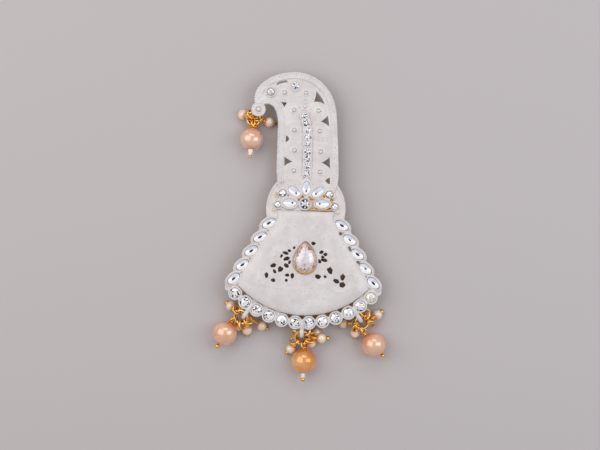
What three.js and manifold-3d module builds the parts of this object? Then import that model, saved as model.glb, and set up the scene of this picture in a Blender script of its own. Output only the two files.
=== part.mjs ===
// A turban brooch: an enamelled fan and curled plume, set with stones, with four pearl drops
// on jump rings and a plain pin behind. It lies on its back with its face up.
// Millimetres, +Z up, +Y from the fan towards the plume; x = 0, y = 0 is the middle of the
// circle that the fan's lower rim follows, until the last line centres the whole brooch.

import * as THREE from "three";
import { mergeVertices } from "three/addons/utils/BufferGeometryUtils.js";
import { ConvexGeometry } from "three/addons/geometries/ConvexGeometry.js";
import Module from "manifold-3d";

const wasm = await Module();
wasm.setup();

// ---------------------------------------------------------------- driving dimensions

const BACK_Z = 5.2;                   // back of the plate above the surface it lies on
const PLATE = 1.5;                    // plate thickness
const FRONT_Z = BACK_Z + PLATE;
const SINK = 0.3;                     // how far raised work reaches into what carries it
const PLAY = 0.12;                    // clearance round a stone in its collet
const CLEAR = 0.25;                   // clearance between the panel and the plate's raised work
const SIMPLEST = 0.03;                // detail smaller than this is merged after the joins

const FAN = { rimRadius: 36, panelRadius: 33.3, topY: 5.4, topHalf: 9.8 };
const SHOULDER = { y: 6.1, radius: 14.8 };
const HOOK = { x: -18.7, y: 42.4, radius: 2.7 };

const RIM = { count: 12, step: 8.04, seat: 2.5, rise: 0.9, stone: 3.8 };
const EDGE = {
  count: 5, x: 13.5, y: 0.42, stepX: 3.08, stepY: -5.23, turns: [32, 33, 35, 37, 43],
  seatLength: 7.9, seatWidth: 4.9, length: 5.8, width: 3.1, collet: 0.4, rise: 0.9,
};
const PETAL = { length: 5.0, width: 2.6, collet: 0.45, rise: 0.9 };

// The stone flower at the neck: place of each petal's middle and the turn of its long axis.
const PETALS = [
  { x: -6.05, y: 8.2, turn: 0 },
  { x: -4.5, y: 12.45, turn: -41 },
  { x: -0.05, y: 13.75, turn: 90 },
  { x: 4.3, y: 12.45, turn: 41 },
  { x: 6.05, y: 8.2, turn: 0 },
];
const NECK_CENTRE = { x: -0.3, y: 7.95, size: 3.5 };
const NECK_ROUNDS = [
  { x: -10.45, y: 7.4, size: 2.3 },
  { x: -8.75, y: 11.7, size: 2.7 },
  { x: 8.6, y: 11.7, size: 2.7 },
  { x: 10.75, y: 7.3, size: 2.3 },
];

// The plume: round lobes with a raised border round them, and three small stones near its top.
const BORDER = { outer: 0.4, inner: 2.3, rise: 0.4 };
const LOBE = { radius: 3.8, rise: 0.5 };
const LOBES = [
  [-4.9, 20.1], [-4.9, 27.6], [-5.2, 35.1], [-5.5, 42.6], [-9.2, 48.9],
  [-1.3, 49.0], [3.5, 42.6], [4.2, 35.1], [4.8, 27.5], [4.8, 20.0],
];
const PLUME_STONES = [
  { x: -5.2, y: 51.5, size: 2.9 },
  { x: -14.4, y: 49.0, size: 2.7 },
  { x: HOOK.x, y: HOOK.y, size: 2.0 },
];
const ROW = { count: 9, y: 19.3, pitch: 2.66, stone: 2.5, channel: 2.1, bendFrom: 31.5, bend: 0.0195 };

const PEAR = { x: 0.3, y: -11.85, length: 12.4, width: 8.9, wall: 0.45, rise: 0.6 };
const PANEL = { edge: 0.8, crown: 2.1, roll: 5.5 };

// Holes cut right through. Plume: three corners each, with sides that bow outwards or inwards.
const PLUME_HOLES = [
  { corners: [[1.8, 45.9], [5.6, 45.1], [2.5, 49.6]], bow: [-0.45, 0.35, -0.2] },
  { corners: [[4.6, 38.7], [7.5, 37.1], [6.9, 40.8]], bow: [-0.15, 0.1, -0.2] },
  { corners: [[5.4, 23.5], [8.4, 21.4], [8.1, 25.5]], bow: [-0.25, 0, -0.25] },
  { corners: [[6.9, 16.8], [8.5, 15.6], [8.4, 17.9]], bow: [0.15, 0.1, 0.15] },
  { corners: [[-9.2, 43.5], [-8.3, 45.2], [-10.4, 45.3]], bow: [-0.1, 0.05, -0.15] },
  { corners: [[-8.3, 30.7], [-7.1, 31.8], [-8.2, 33.0]], bow: [0.25, 0.25, 0] },
  { corners: [[-8.4, 21.9], [-5.6, 23.5], [-8.5, 25.2]], bow: [-0.2, -0.2, 0] },
];
const PLUME_SLIT = { from: [-12.2, 51.95], over: [-10.6, 53.05], to: [-8.4, 53.1], width: 0.6 };

// Fan: middle, length, width and turn of each hole of the leafwork.
const FAN_HOLES = [
  [-3.8, -8.4, 0.7, 0.7, 0], [-5.6, -9.5, 1.1, 0.7, -40], [-6.9, -10.4, 2.2, 1.0, -22],
  [-8.5, -11.5, 1.3, 0.6, 70], [-6.4, -12.4, 2.3, 1.5, 10], [-5.4, -13.8, 1.3, 0.6, 75],
  [-6.5, -15.1, 1.7, 1.2, -35], [-8.7, -16.4, 2.1, 1.6, -55], [-11.3, -15.2, 1.9, 1.2, 25],
  [-10.8, -17.2, 1.5, 0.8, -45], [-13.6, -18.8, 1.7, 1.0, 90], [-6.1, -18.5, 1.7, 0.8, 10],
  [-4.1, -18.8, 2.0, 1.2, 80], [-11.2, -20.5, 1.5, 1.1, 0], [-6.4, -20.4, 0.8, 0.8, 0],
  [3.2, -6.6, 1.2, 1.2, 0], [6.2, -9.7, 1.5, 1.1, 20], [7.7, -10.5, 1.6, 1.1, 15],
  [6.9, -11.3, 1.2, 1.4, 0], [7.4, -12.6, 2.1, 1.1, -15], [5.8, -13.1, 1.7, 0.8, -65],
  [9.7, -16.4, 2.5, 1.9, 90], [5.3, -18.6, 1.6, 1.3, 0], [8.0, -18.7, 0.8, 0.8, 0],
  [12.0, -20.2, 2.4, 1.5, -25], [14.3, -18.8, 2.4, 1.5, 80], [14.3, -21.5, 2.0, 2.0, 0],
  [13.2, -2.6, 1.2, 0.9, -70], [16.7, -8.0, 1.9, 0.9, -70], [20.0, -13.0, 1.1, 0.8, -45],
];
// Between rim stones, counted from the middle of the rim, where the plate is open.
const RIM_GAPS = [-5, -1, 0, 1, 2, 3, 4];

// Drops: lug place and height, and the way its jump ring hangs away from it (degrees).
const RING = { radius: 2.2, wire: 0.4, slope: 20 };
const LUG = { radius: 1.1, wire: 0.4, reach: 39.6, z: BACK_Z + 0.7, at: 4 * RIM.step };
const EYE = { radius: 1.03, wire: 0.25, slack: 0.15, neck: 0.35 };
const DROPS = {
  hook: { x: -20.3, y: 41.1, z: BACK_Z - 0.9, facing: -115, heading: -98 },
  left: { ...rimPoint(LUG.reach, -LUG.at), z: LUG.z, facing: -90 - LUG.at, heading: -145 },
  centre: { ...rimPoint(LUG.reach, 0), z: LUG.z, facing: -90, heading: -87 },
  right: { ...rimPoint(LUG.reach, LUG.at), z: LUG.z, facing: -90 + LUG.at, heading: -54 },
};

// Pearls on their headpins: where the eye sits round the ring (degrees from +X), the middle
// of the pearl, its radius, the radii of its end and of a tip beyond that, and the height of
// what lies under it (0 is the surface).
const BIG_PEARLS = [
  { drop: "hook", eye: -94, x: -21.0, y: 31.35, radius: 4.3, end: 1.1, tip: 0.6 },
  { drop: "left", eye: -152, x: -28.5, y: -41.0, radius: 4.55, end: 0.9 },
  { drop: "centre", eye: -84, x: 1.1, y: -50.3, radius: 4.6, end: 1.0, tip: 0.8 },
  { drop: "right", eye: -76, x: 26.9, y: -43.4, radius: 4.55, end: 0.8 },
];
const SMALL_PEARLS = [
  { drop: "hook", eye: 165, x: -24.6, y: 40.5, radius: 1.95, end: 0.5 },
  { drop: "hook", eye: -11, x: -14.7, y: 38.05, radius: 1.9, end: 0.8 },
  { drop: "left", eye: 134, x: -26.6, y: -30.9, radius: 1.95, end: 0.85 },
  { drop: "left", eye: -99, x: -23.7, y: -38.5, radius: 1.45, end: 0.75 },
  { drop: "left", eye: -62, x: -20.4, y: -39.6, radius: 1.9, end: 0.85 },
  { drop: "left", eye: -19, x: -15.0, y: -37.8, radius: 1.9, end: 0.8 },
  { drop: "centre", eye: -131, x: -3.8, y: -46.1, radius: 1.85, end: 0.85 },
  { drop: "centre", eye: -35, x: 3.6, y: -43.6, radius: 1.85, end: 0.8 },
  { drop: "centre", eye: 0, x: 7.4, y: -41.7, radius: 1.85, end: 0.85, over: 2.2 },
  { drop: "centre", eye: 36, x: 5.3, y: -39.6, radius: 1.6, end: 0.7 },
  { drop: "right", eye: 28, x: 28.0, y: -32.4, radius: 1.85, end: 0.85 },
  { drop: "right", eye: 72, x: 23.6, y: -31.6, radius: 1.8, end: 0.7 },
  { drop: "right", eye: 184, x: 15.5, y: -36.0, radius: 1.8, end: 0.8 },
  { drop: "right", eye: -120, x: 20.0, y: -39.3, radius: 1.85, end: 0.85 },
];

const PIN = { fromY: 4, toY: 38, wireRadius: 0.55, block: 3, strip: 0.8, gap: 0.1 };

// ---------------------------------------------------------------- colours and finishes

const FINISHES = {
  enamel: { color: "#dcd7d8", roughness: 0.32, metalness: 0.1 },
  gold: { color: "#d9962b", roughness: 0.25, metalness: 1 },
  crystal: { color: "#eef1f4", roughness: 0.05, metalness: 0.3 },
  champagne: { color: "#e3cfc2", roughness: 0.06, metalness: 0.3 },
  peach: { color: "#e2a98d", roughness: 0.2, metalness: 0.2 },
  cream: { color: "#e6cfae", roughness: 0.25, metalness: 0.1 },
};

// ---------------------------------------------------------------- places and outlines

function radians(degrees) {
  return degrees * Math.PI / 180;
}

/** A point on a circle round the fan's centre, at an angle from straight down. */
function rimPoint(radius, degrees) {
  const angle = radians(degrees);
  return { x: radius * Math.sin(angle), y: -radius * Math.cos(angle) };
}

function edgePlace(index, side) {
  return {
    x: side * (EDGE.x + EDGE.stepX * index),
    y: EDGE.y + EDGE.stepY * index,
    turn: -side * EDGE.turns[index],
  };
}

/** Points of an oval, or of a pointed navette when point is above 0. */
function ovalPoints(length, width, count, point = 0) {
  return Array.from({ length: count }, (_, i) => {
    const a = 2 * Math.PI * i / count;
    const side = Math.sin(a) * Math.abs(Math.sin(a)) ** point;
    return new THREE.Vector2(length / 2 * Math.cos(a), width / 2 * side);
  });
}

function pearPoints(length, width, count = 20) {
  const widest = 0.841;               // largest value of the curve below
  return Array.from({ length: count }, (_, i) => {
    const a = 2 * Math.PI * i / count;
    const side = Math.sin(a) * Math.abs(Math.sin(a / 2)) ** 0.6;
    return new THREE.Vector2(-width / 2 * side / widest, length / 2 * Math.cos(a));
  });
}

function placed(points, x, y, turn = 0) {
  const middle = new THREE.Vector2(0, 0);
  return points.map((p) => p.clone().rotateAround(middle, radians(turn)).add({ x, y }));
}

/** Moves each point of a closed outline inwards, along the mean of its two sides' normals. */
function inset(points, distance) {
  const count = points.length;
  return points.map((point, i) => {
    const along = points[(i + 1) % count].clone().sub(points[(i + count - 1) % count]);
    const inward = new THREE.Vector2(-along.y, along.x).normalize();
    return point.clone().addScaledVector(inward, distance);
  });
}

/** The plume's outline, anticlockwise from its right foot inside the shoulder. */
function plumeOutline() {
  const shape = new THREE.Shape();
  const right = 11.8;
  const left = -11.35;
  shape.moveTo(10.6, 12.8);
  shape.lineTo(11.4, 15.1);
  shape.bezierCurveTo(right, 17, right, 19, right - 0.3, 24);
  shape.bezierCurveTo(11.2, 31, 10.7, 37, 10.2, 42);
  shape.bezierCurveTo(9.2, 51, 2.2, 56.6, -5.3, 56.6);
  shape.bezierCurveTo(-11.5, 56.6, -20.3, 53.4, -20.4, 46.2);
  shape.lineTo(-20.2, 44.4);
  shape.lineTo(-19, 42.9);
  shape.lineTo(-17.3, 43.3);
  shape.lineTo(-16.5, 44.3);
  shape.bezierCurveTo(-13.6, 45.2, -11.9, 42.6, left, 38);
  shape.lineTo(left, 19.5);
  shape.lineTo(-10.95, 16.3);
  shape.lineTo(-10.6, 12.8);
  return shape.extractPoints(7).shape;
}

/** The fan frame's outline inside its seats, anticlockwise. */
function fanOutline() {
  const shape = new THREE.Shape();
  const halfAngle = radians((RIM.count / 2 - 0.5) * RIM.step);
  shape.moveTo(-13.2, 5);
  shape.lineTo(-26.2, -18.2);
  shape.lineTo(-27.8, -23.6);
  shape.absarc(0, 0, FAN.rimRadius, -Math.PI / 2 - halfAngle, -Math.PI / 2 + halfAngle, false);
  shape.lineTo(27.8, -23.6);
  shape.lineTo(26.2, -18.2);
  shape.lineTo(13.2, 5);
  return shape.extractPoints(16).shape;
}

/** A triangle with bowed sides, anticlockwise. */
function bowedTriangle({ corners, bow }) {
  const shape = new THREE.Shape();
  shape.moveTo(...corners[0]);
  corners.forEach((corner, i) => {
    const next = corners[(i + 1) % 3];
    const length = Math.hypot(next[0] - corner[0], next[1] - corner[1]);
    const middleX = (corner[0] + next[0]) / 2 + 2 * bow[i] * (next[1] - corner[1]) / length;
    const middleY = (corner[1] + next[1]) / 2 - 2 * bow[i] * (next[0] - corner[0]) / length;
    shape.quadraticCurveTo(middleX, middleY, ...next);
  });
  const points = shape.extractPoints(3).shape;
  return points[0].distanceTo(points.at(-1)) < 1e-6 ? points.slice(0, -1) : points;
}

/** The plume's middle line: straight, then bending towards the curl. */
function rowPoint(y) {
  const past = Math.max(0, y - ROW.bendFrom);
  return new THREE.Vector2(-0.05 - ROW.bend * past * past, y);
}

function rowOutline(width, spare) {
  const from = ROW.y - ROW.stone / 2 - spare;
  const to = ROW.y + (ROW.count - 1) * ROW.pitch + ROW.stone / 2 + spare;
  const steps = 8;
  const middle = Array.from({ length: steps + 1 }, (_, i) => rowPoint(from + (to - from) * i / steps));
  const aside = (sign) => middle.map((p) => p.clone().add({ x: sign * (width / 2 + spare), y: 0 }));
  return [...aside(1), ...aside(-1).reverse()];
}

function slitOutline({ from, over, to, width }) {
  const curve = new THREE.QuadraticBezierCurve(
    new THREE.Vector2(...from), new THREE.Vector2(...over), new THREE.Vector2(...to));
  const middle = curve.getPoints(5);
  return [...middle.map((p) => p.clone().add({ x: 0.1, y: -width / 2 })),
    ...middle.map((p) => p.clone().add({ x: -0.1, y: width / 2 })).reverse()];
}

// ---------------------------------------------------------------- solids

/** A closed three.js geometry as a solid that can be joined and cut. */
function toSolid(geometry) {
  const bare = new THREE.BufferGeometry();
  bare.setAttribute("position", geometry.getAttribute("position"));
  bare.setIndex(geometry.index);
  const merged = mergeVertices(bare, 1e-4);
  const corners = [];
  for (let i = 0; i < merged.index.count; i += 3) {
    const [a, b, c] = [0, 1, 2].map((k) => merged.index.getX(i + k));
    if (a !== b && b !== c && c !== a) corners.push(a, b, c);
  }
  return new wasm.Manifold(new wasm.Mesh({
    numProp: 3,
    vertProperties: new Float32Array(merged.getAttribute("position").array),
    triVerts: new Uint32Array(corners),
  }));
}

function toGeometry(solid) {
  const mesh = solid.asOriginal().simplify(SIMPLEST).getMesh();
  const geometry = new THREE.BufferGeometry();
  geometry.setAttribute("position", new THREE.BufferAttribute(mesh.vertProperties, 3));
  geometry.setIndex(new THREE.BufferAttribute(mesh.triVerts, 1));
  geometry.computeVertexNormals();
  return geometry;
}

function join(solids) {
  return solids.reduce((whole, solid) => whole.add(solid));
}

function cut(whole, tools) {
  return tools.reduce((rest, tool) => rest.subtract(tool), whole);
}

/** An outline raised from z0 to z1, with its upper and lower edges chamfered if asked. */
function prism(points, z0, z1, chamfer = 0) {
  const geometry = new THREE.ExtrudeGeometry(new THREE.Shape(points), {
    depth: z1 - z0 - 2 * chamfer,
    bevelEnabled: chamfer > 0,
    bevelThickness: chamfer,
    bevelSize: chamfer,
    bevelOffset: -chamfer,
    bevelSegments: 1,
  });
  geometry.translate(0, 0, z0 + chamfer);
  return toSolid(geometry);
}

function disc(x, y, radius, z0, z1, sides = 24) {
  return prism(placed(ovalPoints(2 * radius, 2 * radius, sides), x, y), z0, z1);
}

/** A low dome on the plate's front. */
function dome(x, y, radius, rise) {
  const profile = [[0, -SINK], [radius, -SINK], [radius, 0], [0.65 * radius, 0.8 * rise], [0, rise]];
  const geometry = new THREE.LatheGeometry(profile.map((p) => new THREE.Vector2(...p)), 12);
  geometry.rotateX(Math.PI / 2);
  geometry.translate(x, y, FRONT_Z);
  return toSolid(geometry);
}

// ---------------------------------------------------------------- stones and their seats

/** A cut stone: a table, crown facets to the girdle, and a faceted point below.
 *  Its origin is the middle of the girdle. */
function stoneGeometry(outline, crown, pavilion) {
  const points = [];
  outline.forEach((p, i) => {
    points.push(new THREE.Vector3(p.x, p.y, 0));
    const level = i % 2 ? crown : -pavilion;
    points.push(new THREE.Vector3(0.58 * p.x, 0.58 * p.y, level));
  });
  return new ConvexGeometry(points);
}

/** Every stone that sits in a collet: its name, place, outline and collet. */
function seatedStones() {
  const stones = [];
  for (let i = 0; i < RIM.count; i++) {
    const place = rimPoint(FAN.rimRadius, (i - (RIM.count - 1) / 2) * RIM.step);
    stones.push({
      name: `rim_stone_${i + 1}`, ...place, turn: 11 * i,
      outline: (grow) => ovalPoints(RIM.stone + grow, RIM.stone + grow, 12),
      collet: 0, rise: RIM.rise,
    });
  }
  for (const [word, side] of [["left", -1], ["right", 1]]) {
    for (let i = 0; i < EDGE.count; i++) {
      stones.push({
        name: `edge_stone_${word}_${i + 1}`, ...edgePlace(i, side),
        outline: (grow) => ovalPoints(EDGE.length + grow, EDGE.width + grow, 12, 0.35),
        collet: EDGE.collet * 2, rise: EDGE.rise,
      });
    }
  }
  PETALS.forEach((petal, i) => stones.push({
    name: `neck_petal_${i + 1}`, ...petal,
    outline: (grow) => ovalPoints(PETAL.length + grow, PETAL.width + grow, 12, 0.2),
    collet: PETAL.collet * 2, rise: PETAL.rise,
  }));
  [NECK_CENTRE, ...NECK_ROUNDS].forEach((round, i) => stones.push({
    name: i ? `neck_round_${i}` : "neck_centre_stone", x: round.x, y: round.y, turn: 0,
    outline: (grow) => ovalPoints(round.size + grow, round.size + grow, 12),
    collet: 0.9, rise: i ? 0.7 : 0.9,
  }));
  return stones;
}

function colletSolid(stone) {
  const points = placed(stone.outline(stone.collet), stone.x, stone.y, stone.turn);
  return prism(points, FRONT_Z - SINK, FRONT_Z + stone.rise);
}

function pocketSolid(stone) {
  const points = placed(stone.outline(2 * PLAY), stone.x, stone.y, stone.turn);
  return prism(points, FRONT_Z - 0.85, FRONT_Z + 3);
}

// ---------------------------------------------------------------- the plate

/** A standing wire loop whose plane holds the given direction and the vertical. */
function lugSolid({ x, y, z, facing }) {
  const loop = new THREE.TorusGeometry(LUG.radius, LUG.wire, 5, 10);
  loop.rotateX(Math.PI / 2);
  loop.rotateZ(radians(facing));
  loop.translate(x, y, z);
  return toSolid(loop);
}

/** The short neck that ties a rim lug to the rim. */
function lugNeck(lug) {
  const back = LUG.radius + 1.7;
  const turn = radians(lug.facing);
  const x = lug.x - (LUG.radius + back) / 2 * Math.cos(turn);
  const y = lug.y - (LUG.radius + back) / 2 * Math.sin(turn);
  const outline = [[-1, -0.5], [1, -0.5], [1, 0.5], [-1, 0.5]].map((p) => new THREE.Vector2(...p));
  return prism(placed(outline, x, y, lug.facing), lug.z - 0.5, lug.z + 0.5);
}

function basePlate(stones) {
  const plume = plumeOutline();
  const parts = [
    prism(plume, BACK_Z, FRONT_Z),
    disc(0, SHOULDER.y, SHOULDER.radius, BACK_Z, FRONT_Z, 40),
    prism(fanOutline(), BACK_Z, FRONT_Z),
    disc(HOOK.x, HOOK.y, HOOK.radius, BACK_Z, FRONT_Z + BORDER.rise),
  ];
  for (const side of [-1, 1]) {
    parts.push(disc(side * 27.5, -23.7, 1.6, BACK_Z, FRONT_Z, 16));
    for (let i = 0; i < EDGE.count; i++) {
      const { x, y, turn } = edgePlace(i, side);
      const seat = placed(ovalPoints(EDGE.seatLength, EDGE.seatWidth, 18), x, y, turn);
      parts.push(prism(seat, BACK_Z, FRONT_Z));
    }
  }
  for (let i = 0; i < RIM.count; i++) {
    const { x, y } = rimPoint(FAN.rimRadius, (i - (RIM.count - 1) / 2) * RIM.step);
    parts.push(disc(x, y, RIM.seat, BACK_Z, FRONT_Z + RIM.rise, 18));
  }

  const band = new THREE.Shape(inset(plume, BORDER.outer));
  band.holes.push(new THREE.Path(inset(plume, BORDER.inner)));
  const border = new THREE.ExtrudeGeometry(band, { depth: SINK + BORDER.rise, bevelEnabled: false });
  border.translate(0, 0, FRONT_Z - SINK);
  parts.push(toSolid(border));
  LOBES.forEach(([x, y]) => parts.push(dome(x, y, LOBE.radius, LOBE.rise)));
  stones.filter((stone) => stone.collet).forEach((stone) => parts.push(colletSolid(stone)));
  for (const { x, y, size } of PLUME_STONES) {
    const collet = 2 * PLAY + 0.8;
    parts.push(prism(placed(ovalPoints(size + collet, size + collet, 12), x, y),
      FRONT_Z - SINK, FRONT_Z + BORDER.rise + 0.15));
    const stone = stoneGeometry(ovalPoints(size, size, 12), 0.6, 0.5);
    stone.translate(x, y, FRONT_Z + BORDER.rise + 0.3);
    parts.push(toSolid(stone));
  }
  for (const [name, lug] of Object.entries(DROPS)) {
    parts.push(lugSolid(lug));
    if (name !== "hook") parts.push(lugNeck(lug));
  }

  const through = [BACK_Z - 1, FRONT_Z + 4];
  const tools = [
    ...PLUME_HOLES.map((hole) => prism(bowedTriangle(hole), ...through)),
    prism(slitOutline(PLUME_SLIT), ...through),
    prism(rowOutline(ROW.channel, 2 * PLAY), FRONT_Z - 0.6, FRONT_Z + 3),
    ...fanHoleSolids(),
    ...rimGapSolids(),
    ...stones.map(pocketSolid),
  ];
  return cut(join(parts), tools);
}

function fanHoleSolids() {
  return FAN_HOLES.map(([x, y, length, width, turn]) =>
    prism(placed(ovalPoints(length, width, 6), x, y, turn), BACK_Z - 1, FRONT_Z + 4));
}

function rimGapSolids() {
  return RIM_GAPS.map((gap) => {
    const corners = [[33.1, -2.0], [34.9, 0], [33.1, 2.0]].map(([radius, aside]) => {
      const { x, y } = rimPoint(radius, gap * RIM.step - aside);
      return new THREE.Vector2(x, y);
    });
    return prism(corners.reverse(), BACK_Z - 1, FRONT_Z + 4);
  });
}

// ---------------------------------------------------------------- the domed panel

/** Half of the panel's width at a height y: straight at the top, then following the stones. */
function panelHalf(y) {
  const breaks = [[FAN.topY, FAN.topHalf], [3, FAN.topHalf - 0.5], [-18.9, 21.9], [-23.6, 22.9]];
  for (let i = 1; i < breaks.length; i++) {
    const [upper, lower] = [breaks[i - 1], breaks[i]];
    if (y >= lower[0] - 1e-6) {
      return THREE.MathUtils.mapLinear(y, upper[0], lower[0], upper[1], lower[1]);
    }
  }
  return breaks.at(-1)[1];
}

/** Height of the panel's face where it lies a distance from its edge: rolled over, then crowned. */
function panelFace(distance) {
  const inwards = THREE.MathUtils.clamp(distance / PANEL.roll, 0, 1);
  return PANEL.edge + (PANEL.crown - PANEL.edge) * Math.sqrt(1 - (1 - inwards) ** 2);
}

/** The panel before it is pierced: a grid of points for its face over a flat back. */
function panelBlank() {
  const across = [0, 0.035, 0.1, 0.22, 0.5, 0.78, 0.9, 0.965, 1];
  const down = [0, 0.03, 0.09, 0.2, 0.5, 0.8, 0.91, 0.97, 1];
  const half = panelHalf(-23.6);
  const back = FRONT_Z + PLAY;
  const vertices = [];
  const index = [];
  for (const level of ["face", "back"]) {
    for (const t of down) {
      for (const u of across) {
        const s = 2 * u - 1;
        const bottomY = -Math.sqrt(FAN.panelRadius ** 2 - (s * half) ** 2);
        const y = FAN.topY + (bottomY - FAN.topY) * t;
        const sideY = FAN.topY + (-23.6 - FAN.topY) * t;
        const width = panelHalf(sideY);
        const distance = Math.min((1 - Math.abs(s)) * width, FAN.topY - y, y - bottomY);
        vertices.push(s * width, y, level === "back" ? back : back + panelFace(distance));
      }
    }
  }
  const columns = across.length;
  const rows = down.length;
  const faceCount = columns * rows;
  const quad = (a, b, c, d) => index.push(a, b, c, a, c, d);
  for (let j = 0; j < rows - 1; j++) {
    for (let i = 0; i < columns - 1; i++) {
      const at = j * columns + i;
      quad(at, at + columns, at + columns + 1, at + 1);
      quad(at + faceCount, at + 1 + faceCount, at + columns + 1 + faceCount, at + columns + faceCount);
    }
  }
  const edge = [];
  for (let i = 0; i < columns - 1; i++) edge.push(i);
  for (let j = 0; j < rows - 1; j++) edge.push(j * columns + columns - 1);
  for (let i = columns - 1; i > 0; i--) edge.push((rows - 1) * columns + i);
  for (let j = rows - 1; j > 0; j--) edge.push(j * columns);
  edge.forEach((at, k) => {
    const next = edge[(k + 1) % edge.length];
    quad(at, next, next + faceCount, at + faceCount);
  });
  const geometry = new THREE.BufferGeometry();
  geometry.setAttribute("position", new THREE.Float32BufferAttribute(vertices, 3));
  geometry.setIndex(index);
  return toSolid(geometry);
}

function fanPanel() {
  const pocket = placed(pearPoints(PEAR.length + CLEAR, PEAR.width + CLEAR), PEAR.x, PEAR.y);
  return cut(panelBlank(), [
    ...fanHoleSolids(),
    prism(pocket, FRONT_Z + 0.6, FRONT_Z + 6),
  ]);
}

function pearSetting() {
  const base = FRONT_Z + 0.6 + PLAY;
  const top = FRONT_Z + PLAY + PANEL.crown + PEAR.rise;
  const inner = pearPoints(PEAR.length - 2 * PEAR.wall, PEAR.width - 2 * PEAR.wall);
  const cup = prism(placed(pearPoints(PEAR.length, PEAR.width), PEAR.x, PEAR.y), base, top, 0.12);
  return cut(cup, [prism(placed(inner, PEAR.x, PEAR.y), base + 0.4, top + 1)]);
}

// ---------------------------------------------------------------- the rest of the metalwork

function stoneRow() {
  const channel = prism(rowOutline(ROW.channel, 0), FRONT_Z - 0.5, FRONT_Z + 0.4);
  const stones = Array.from({ length: ROW.count }, (_, i) => {
    const { x, y } = rowPoint(ROW.y + i * ROW.pitch);
    const stone = stoneGeometry(ovalPoints(ROW.stone, ROW.stone, 8), 0.55, 0.3);
    stone.translate(x, y, FRONT_Z + 0.6);
    return toSolid(stone);
  });
  return join([channel, ...stones]);
}

/** The pin behind the plume: a strip under the plate, a block at each end, and the wire. */
function backPin() {
  const top = BACK_Z - PIN.gap;
  const half = PIN.block / 2;
  const box = (y0, y1, z0, z1) => prism([[-half, y0], [half, y0], [half, y1], [-half, y1]]
    .map((p) => new THREE.Vector2(...p)), z0, z1);
  const wire = new THREE.CylinderGeometry(PIN.wireRadius, PIN.wireRadius,
    PIN.toY - PIN.fromY - PIN.block, 10);
  wire.translate(0, (PIN.fromY + PIN.toY) / 2, 2 * PIN.wireRadius);
  return join([
    box(PIN.fromY, PIN.toY, top - PIN.strip, top),
    box(PIN.fromY, PIN.fromY + PIN.block, 0, top - PIN.strip / 2),
    box(PIN.toY - PIN.block, PIN.toY, 0, top - PIN.strip / 2),
    toSolid(wire),
  ]);
}

// ---------------------------------------------------------------- rings and pearls

/** A jump ring's middle and its three directions: away from the lug, along, and its axis. */
function ringFrame(drop) {
  const heading = radians(drop.heading);
  const slope = radians(RING.slope);
  const away = new THREE.Vector3(
    Math.cos(heading) * Math.cos(slope), Math.sin(heading) * Math.cos(slope), -Math.sin(slope));
  const along = new THREE.Vector3(-Math.sin(heading), Math.cos(heading), 0);
  const axis = new THREE.Vector3().crossVectors(away, along);
  const middle = new THREE.Vector3(drop.x, drop.y, drop.z).addScaledVector(away, RING.radius);
  return { away, along, axis, middle };
}

/** Where an eye sits on its ring, and the ring wire's direction there. */
function eyePlace(drop, eyeDegrees) {
  const { away, along, middle } = ringFrame(drop);
  const angle = radians(eyeDegrees - drop.heading);
  const outward = away.clone().multiplyScalar(Math.cos(angle))
    .addScaledVector(along, Math.sin(angle));
  const wireAlong = away.clone().multiplyScalar(-Math.sin(angle))
    .addScaledVector(along, Math.cos(angle));
  const eye = middle.clone().addScaledVector(outward, RING.radius + EYE.slack);
  return { eye, wireAlong };
}

/** The steepest slope at which a pearl and its end both clear what they lie on. */
function restingSlope(eye, pearl, reach, endAt) {
  const lowest = pearl.radius + (pearl.over ?? 0) + 0.02;
  let slope = radians(-20);
  for (let tried = slope; tried < radians(70); tried += radians(0.25)) {
    const pearlZ = eye.z - reach * Math.tan(tried);
    const endZ = pearlZ - endAt * Math.sin(tried);
    if (pearlZ < lowest || endZ < pearl.end + 0.02) break;
    slope = tried;
  }
  return slope;
}

/** A pearl on its headpin, lying along +X from the eye at the origin, and its place. */
function pearlOnPin(pearl, sides) {
  const { eye, wireAlong } = eyePlace(DROPS[pearl.drop], pearl.eye);
  const reach = Math.hypot(pearl.x - eye.x, pearl.y - eye.y);
  const endAt = pearl.radius + 0.7 * pearl.end;
  const slope = restingSlope(eye, pearl, reach, endAt);
  const length = reach / Math.cos(slope);
  const pinAlong = new THREE.Vector3(pearl.x - eye.x, pearl.y - eye.y, -reach * Math.tan(slope))
    .normalize();
  const eyeAxis = wireAlong.clone().addScaledVector(pinAlong, -wireAlong.dot(pinAlong)).normalize();
  const third = new THREE.Vector3().crossVectors(pinAlong, eyeAxis);

  const loop = new THREE.TorusGeometry(EYE.radius, EYE.wire, 5, 9);
  loop.rotateX(Math.PI / 2);
  const shankFrom = EYE.radius + 0.4 * EYE.wire;
  const shankTo = length - pearl.radius + EYE.wire;
  const shank = new THREE.CylinderGeometry(EYE.neck, EYE.neck, shankTo - shankFrom, 5);
  shank.rotateZ(Math.PI / 2);
  shank.translate((shankTo + shankFrom) / 2, 0, 0);
  const bead = new THREE.SphereGeometry(pearl.radius, sides, sides / 2);
  bead.rotateZ(Math.PI / 2);
  bead.translate(length, 0, 0);
  const end = new THREE.SphereGeometry(pearl.end, 6, 3);
  end.rotateZ(Math.PI / 2);
  end.translate(length + endAt, 0, 0);
  const solids = [loop, shank, bead, end].map(toSolid);
  if (pearl.tip) {
    const tip = new THREE.SphereGeometry(pearl.tip, 6, 4);
    tip.rotateZ(Math.PI / 2);
    tip.translate(length + endAt + pearl.end + 0.5 * pearl.tip, 0, 0);
    solids.push(toSolid(tip));
  }
  const geometry = toGeometry(join(solids));

  const turn = new THREE.Matrix4().makeBasis(pinAlong, eyeAxis, third);
  return { geometry, eye, turn };
}

// ---------------------------------------------------------------- the assembly

const brooch = new THREE.Group();

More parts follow.
